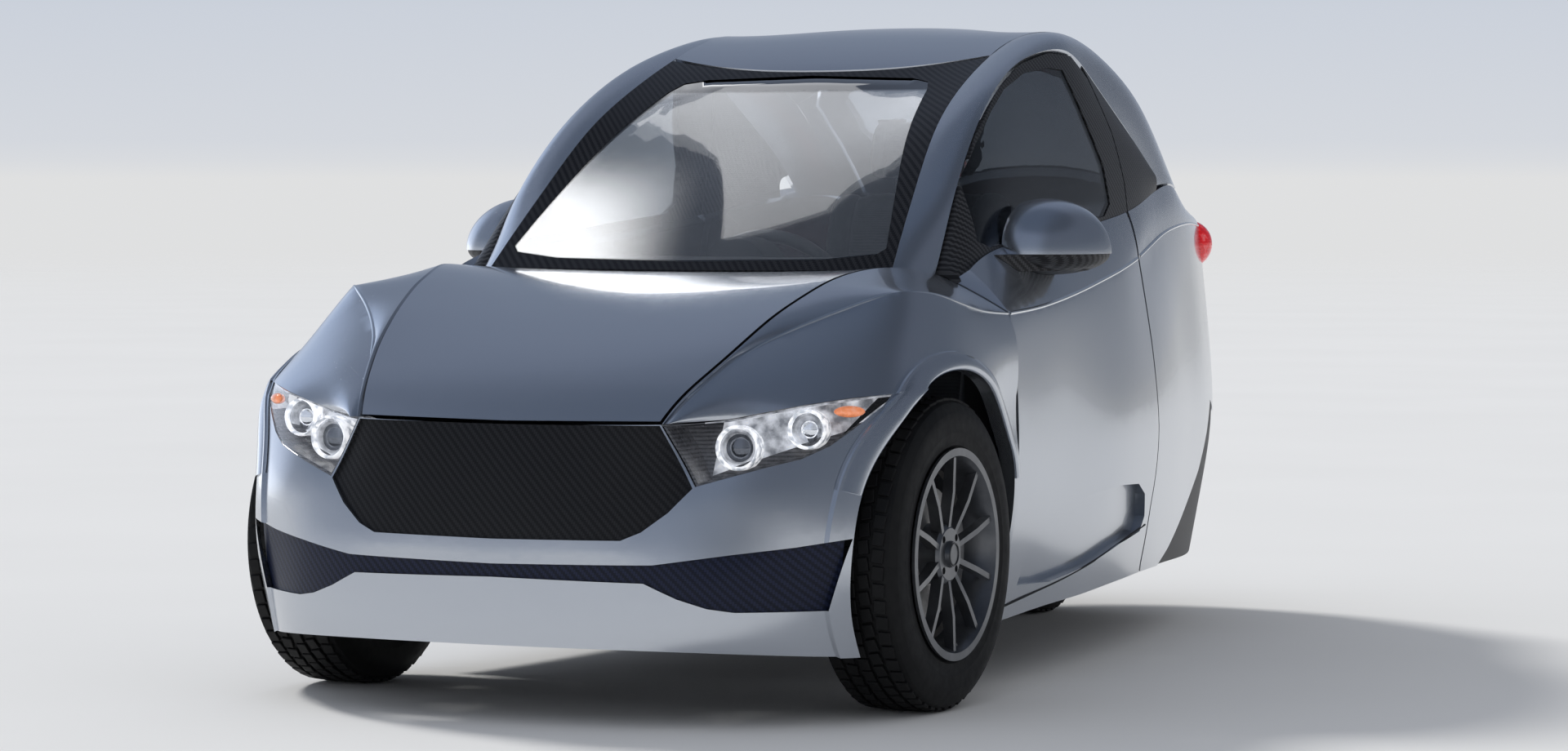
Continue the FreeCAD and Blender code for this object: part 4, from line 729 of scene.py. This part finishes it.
def seat():
    """Three pads, the posts of the head rest and the links between cushion and back."""
    cushion = pad("seat_cushion", CUSHION, half_width=0.222, bolster=Vector((0, 0, 0.024)))
    back = pad("seat_back", SEAT_BACK, half_width=0.212, bolster=Vector((0, -0.022, 0.004)))
    pad("head_rest", HEAD_REST, half_width=0.126, bolster=Vector((0, -0.004, 0)))
    bm = bmesh.new()
    for side, _ in SIDES:
        x, y, z = POST_PLACE
        cone(bm, 20, POST_RADIUS, POST_RADIUS, POST_LENGTH, Matrix.Translation((-side * x, y, z)))
    for side, _ in SIDES:
        x, y, z = LINK_PLACE
        block(bm, LINK_SIZE, Matrix.Translation((-side * x, y, z)), LINK_BEVEL, 2)
    add_piece("seat_posts", bm, DARK_STEEL, "body")
    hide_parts("seat")
    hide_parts("seat")


# Lamps

def lamp_bezel(name, centre, axis, radius):
    """Bright ring with a stepped inside, round the projector's lens."""
    bm = bmesh.new()
    turned(bm, [(along, radius * share) for along, share in BEZEL_SECTION], 72)
    bmesh.ops.transform(bm, matrix=aim(axis, centre), verts=bm.verts)
    add_piece(name, bm, HALO, "body")


def projector(name, centre, axis, radius, material):
    """Domed glass in front of the reflector."""
    bm = bmesh.new()
    shares = [i / DOME_STEPS for i in range(DOME_STEPS + 1)]
    turned(bm, [(-DOME_DEPTH * share ** 2, radius * DOME_SHARE * share) for share in shares], 48)
    bmesh.ops.transform(bm, matrix=aim(axis, centre), verts=bm.verts)
    add_piece(name, bm, material, "body")


def amber_lamp(name, side):
    bm = bmesh.new()
    made = bmesh.ops.create_uvsphere(bm, u_segments=24, v_segments=16, radius=1.0)
    stand = Matrix.Translation(AMBER_PLACE) @ Matrix.Rotation(AMBER_TURN, 4, "Z")
    bmesh.ops.transform(bm, matrix=stand @ Matrix.Diagonal((*AMBER_SIZE, 1)), verts=made["verts"])
    if side < 0:
        bmesh.ops.scale(bm, vec=(-1, 1, 1), verts=bm.verts)
    add_piece(name, bm, AMBER_LENS, "body")


def lamps():
    for side, word in SIDES:
        for i, (centre, radius) in enumerate(LAMP_RINGS):
            place = centre if side > 0 else flipped(centre)
            axis = LAMP_AXIS if side > 0 else flipped(LAMP_AXIS)
            lamp_bezel(f"lamp_bezel_{word}_{i + 1}", place, axis, radius)
            projector(f"lamp_projector_{word}_{i + 1}", place, axis, radius, (DARK_GLASS, LAMP_CHROME)[i])
        amber_lamp("indicator_" + word, side)


# Body lines

def surface_of(*names):
    """A search tree over the meshes of some nodes."""
    verts, faces = [], []
    for name in names:
        mesh = NODES[name].data
        start = len(verts)
        verts += [vert.co.copy() for vert in mesh.vertices]
        faces += [[start + i for i in face.vertices] for face in mesh.polygons]
    return BVHTree.FromPolygons(verts, faces)


def crease_line(name, points, node, body, side, radius, material):
    """A thin round strip that follows a line on a panel; the line is given for the left side."""
    tree = surface_of(node)
    places = []
    for point in points:
        place = Vector(point) if side > 0 else flipped(Vector(point))
        places.append(tree.find_nearest(place)[0])
    tube(name, places, radius, material, body)


def body_lines():
    for side, word in SIDES:
        door = "door_" + word
        # The bright strips along the creases are painted highlights; the sill seam is a dark joint
        for name, points, panel, radius in CREASE_HIGHLIGHTS:
            node = f"{panel}_{word}"
            body = door if node == door else "body"
            crease_line(f"{name}_{word}", points, node, body, side, radius, CREASE_HIGHLIGHT)
        crease_line("sill_seam_" + word, SILL_SEAM, door, door, side, SEAM_RADIUS, SEAL_RUBBER)


def round_the_arch(x, radius, angle):
    return Vector((x, ARCH_CENTRE[0] + radius * math.cos(angle), ARCH_CENTRE[1] + radius * math.sin(angle)))


def arch_lip(side, word):
    """Rounded lip that follows the front wheel opening, a little proud of the panels."""
    tree = surface_of("fender_" + word, "bumper")
    inward = Vector((-side, 0.0, 0.0))
    bm = bmesh.new()
    rings = []
    for step in range(LIP_STEPS + 1):
        angle = math.radians(LIP_ENDS[0] + (LIP_ENDS[1] - LIP_ENDS[0]) * step / LIP_STEPS)
        points = []
        for radius, proud in LIP_SECTION:
            hit = tree.ray_cast(round_the_arch(side, radius, angle), inward)[0]
            if hit is None:
                break
            points.append(hit - inward * proud)
        if len(points) == len(LIP_SECTION):
            rings.append(ring(bm, points))
    for near, far in zip(rings, rings[1:]):
        bmesh.ops.bridge_loops(bm, edges=near + far)
    bmesh.ops.holes_fill(bm, edges=rings[0] + rings[-1], sides=len(LIP_SECTION))
    bmesh.ops.smooth_vert(bm, verts=bm.verts, factor=0.3, use_axis_x=True, use_axis_y=False, use_axis_z=False)
    add_piece("arch_lip_" + word, bm, PAINT, "body", LIP_SHARP)


def wheel_house(side, word):
    """Upright inner wall of the front wheel house: no daylight shows past the tyre or the door's gap."""
    near = math.asin((WALL_STEP - ARCH_CENTRE[1]) / WALL_RADIUS)
    far = math.pi + math.asin((ARCH_CENTRE[1] - WALL_FOOT) / WALL_RADIUS)
    angles = [near + (far - near) * i / WALL_STEPS for i in range(WALL_STEPS + 1)]
    bm = bmesh.new()
    rings = []
    for x in (side * WALL_PLACE, side * (WALL_PLACE - WALL_THICKNESS)):
        corners = [Vector((x, WALL_REAR, WALL_FOOT)), Vector((x, WALL_REAR, WALL_STEP))]
        rings.append(ring(bm, corners + [round_the_arch(x, WALL_RADIUS, angle) for angle in angles]))
    bmesh.ops.bridge_loops(bm, edges=rings[0] + rings[1])
    bmesh.ops.holes_fill(bm, edges=rings[0] + rings[1], sides=len(rings[0]))
    add_piece("wheel_house_" + word, bm, BLACK_PLASTIC, "body")


def mirror_faces():
    """The looking glass in the back of each mirror."""
    for side, word in SIDES:
        lo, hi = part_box("mirror_" + word)
        bm = bmesh.new()
        made = bmesh.ops.create_circle(bm, cap_ends=True, segments=40, radius=1.0)
        width = (hi.x - lo.x) / 2 - MIRROR_SIDE_MARGIN
        height = (hi.z - lo.z) - 2 * MIRROR_FOOT
        middle = Vector(((lo.x + hi.x) / 2 - MIRROR_SHIFT * side, hi.y - MIRROR_INSET, lo.z + MIRROR_FOOT))
        stand = Matrix.Translation(middle) @ Matrix.Rotation(math.pi / 2, 4, "X")
        bmesh.ops.transform(bm, matrix=stand @ Matrix.Diagonal((width, height, 1, 1)), verts=made["verts"])
        cut = bm.verts[:] + bm.edges[:] + bm.faces[:]
        bmesh.ops.bisect_plane(bm, geom=cut, plane_co=middle, plane_no=(0, 0, 1), clear_inner=True)
        bmesh.ops.solidify(bm, geom=bm.faces[:], thickness=MIRROR_THICKNESS)
        add_piece("mirror_glass_" + word, bm, MIRROR_GLASS, "door_" + word)


# Studio

def studio_floor():
    """Pale sheet that fades into the surroundings far from the car."""
    bm = bmesh.new()
    bmesh.ops.create_grid(bm, x_segments=1, y_segments=1, size=FLOOR_SIZE)
    mesh = bpy.data.meshes.new("studio floor")
    bm.to_mesh(mesh)
    bm.free()
    floor = bpy.data.objects.new("studio_floor", mesh)
    made = Material("pale floor", (0.80, 0.80, 0.81), 0.6)
    made.vary_colour(made.noise(0.7, 2.0), [(0.3, (0.81, 0.80, 0.78)), (0.7, (0.83, 0.82, 0.80))])
    made.set("Specular IOR Level", 0.0)
    away = made.node("ShaderNodeVectorMath", operation="LENGTH")
    made.link(made.place, away.inputs[0])
    clear = made.node("ShaderNodeBsdfTransparent")
    mix = made.node("ShaderNodeMixShader")
    made.link(map_range(made.tree, away.outputs["Value"], *FLOOR_FADE, 0.0, 1.0), mix.inputs[0])
    made.link(made.shader.outputs[0], mix.inputs[1])
    made.link(clear.outputs[0], mix.inputs[2])
    made.link(mix.outputs[0], made.tree.nodes["Material Output"].inputs["Surface"])
    mesh.materials.append(made.data)
    bpy.context.scene.collection.objects.link(floor)


def toward(tree, direction, way):
    """How closely a direction points a way: 1 straight along it."""
    made = tree.nodes.new("ShaderNodeVectorMath")
    made.operation = "DOT_PRODUCT"
    made.inputs[1].default_value = Vector(way).normalized()
    tree.links.new(direction, made.inputs[0])
    return made.outputs["Value"]


def surroundings():
    """Soft studio surroundings, whose light depends on the direction looked in alone."""
    world = bpy.data.worlds.new("studio")
    bpy.context.scene.world = world
    world.use_nodes = True
    tree = world.node_tree
    background = tree.nodes["Background"]
    direction = tree.nodes.new("ShaderNodeTexCoord").outputs["Generated"]
    colour = colour_ramp(tree, toward(tree, direction, (0, 0, 1)), SKY_STOPS)
    level = map_range(tree, toward(tree, direction, SHADE_WAY), *SHADE_RANGE, 1.0, SHADE_LEVEL)
    glow_edge = math.cos(math.radians(EDGE_GLOW_WIDTH))
    glow = map_range(tree, toward(tree, direction, EDGE_GLOW_WAY), glow_edge, 1.0, 0.0, EDGE_GLOW)
    total = tree.nodes.new("ShaderNodeMath")
    tree.links.new(level, total.inputs[0])
    tree.links.new(glow, total.inputs[1])
    tree.links.new(colour, background.inputs["Color"])
    tree.links.new(total.outputs[0], background.inputs["Strength"])


def sun(name, strength, width, way, colour):
    """Far light that mirrors don't show: they show the surroundings alone."""
    light = bpy.data.lights.new(name, "SUN")
    light.energy = strength
    light.angle = math.radians(width)
    light.color = colour
    lamp = bpy.data.objects.new(name, light)
    lamp.rotation_mode = "QUATERNION"
    lamp.rotation_quaternion = Vector(way).to_track_quat("-Z", "Y")
    lamp.visible_glossy = False
    bpy.context.scene.collection.objects.link(lamp)


def screen_light(name, across, along, start, end):
    """Lights the windscreen alone, with a brightness that changes along X."""
    light = bpy.data.lights.new(name, "AREA")
    light.shape = "RECTANGLE"
    light.size, light.size_y = across[1] - across[0], along[1] - along[0]
    light.energy = light.size * light.size_y * math.pi
    light.use_nodes = True
    tree = light.node_tree
    split = tree.nodes.new("ShaderNodeSeparateXYZ")
    tree.links.new(tree.nodes.new("ShaderNodeNewGeometry").outputs["Position"], split.inputs[0])
    fade = map_range(tree, split.outputs["X"], start[0], end[0], start[1], end[1])
    tree.links.new(fade, tree.nodes["Emission"].inputs["Strength"])
    lamp = bpy.data.objects.new(name, light)
    lamp.location = (sum(across) / 2, sum(along) / 2, SCREEN_BOX_HEIGHT)
    lamp.rotation_euler.z = math.radians(SCREEN_TURN)
    bpy.context.scene.collection.objects.link(lamp)
    lit = bpy.data.collections.new("lit by the " + name)
    lit.objects.link(NODES["windscreen"])
    lamp.light_linking.receiver_collection = lit


def camera():
    data = bpy.data.cameras.new("camera")
    data.lens = CAMERA_LENS
    data.sensor_width = SENSOR_WIDTH
    data.clip_end = VIEW_REACH
    turn, lift = math.radians(CAMERA_AZIMUTH), math.radians(CAMERA_ELEVATION)
    back = Vector((math.sin(turn) * math.cos(lift), -math.cos(turn) * math.cos(lift), math.sin(lift)))
    holder = bpy.data.objects.new("camera", data)
    holder.location = CAMERA_PLACE
    holder.rotation_mode = "QUATERNION"
    holder.rotation_quaternion = (-back).to_track_quat("-Z", "Y")
    bpy.context.scene.collection.objects.link(holder)
    bpy.context.scene.camera = holder
    bpy.context.scene.view_settings.view_transform = "Standard"


camera()
studio_floor()
surroundings()
sun("key", *KEY_SUN)
sun("fill", *FILL_SUN)
screen_light("screen streak", *SCREEN_STREAK)
screen_light("screen veil", *SCREEN_VEIL)
finish_nodes()
wheels()
lamps()
seat()
body_lines()
for side, word in SIDES:
    arch_lip(side, word)
for side, word in SIDES:
    wheel_house(side, word)
mirror_faces()
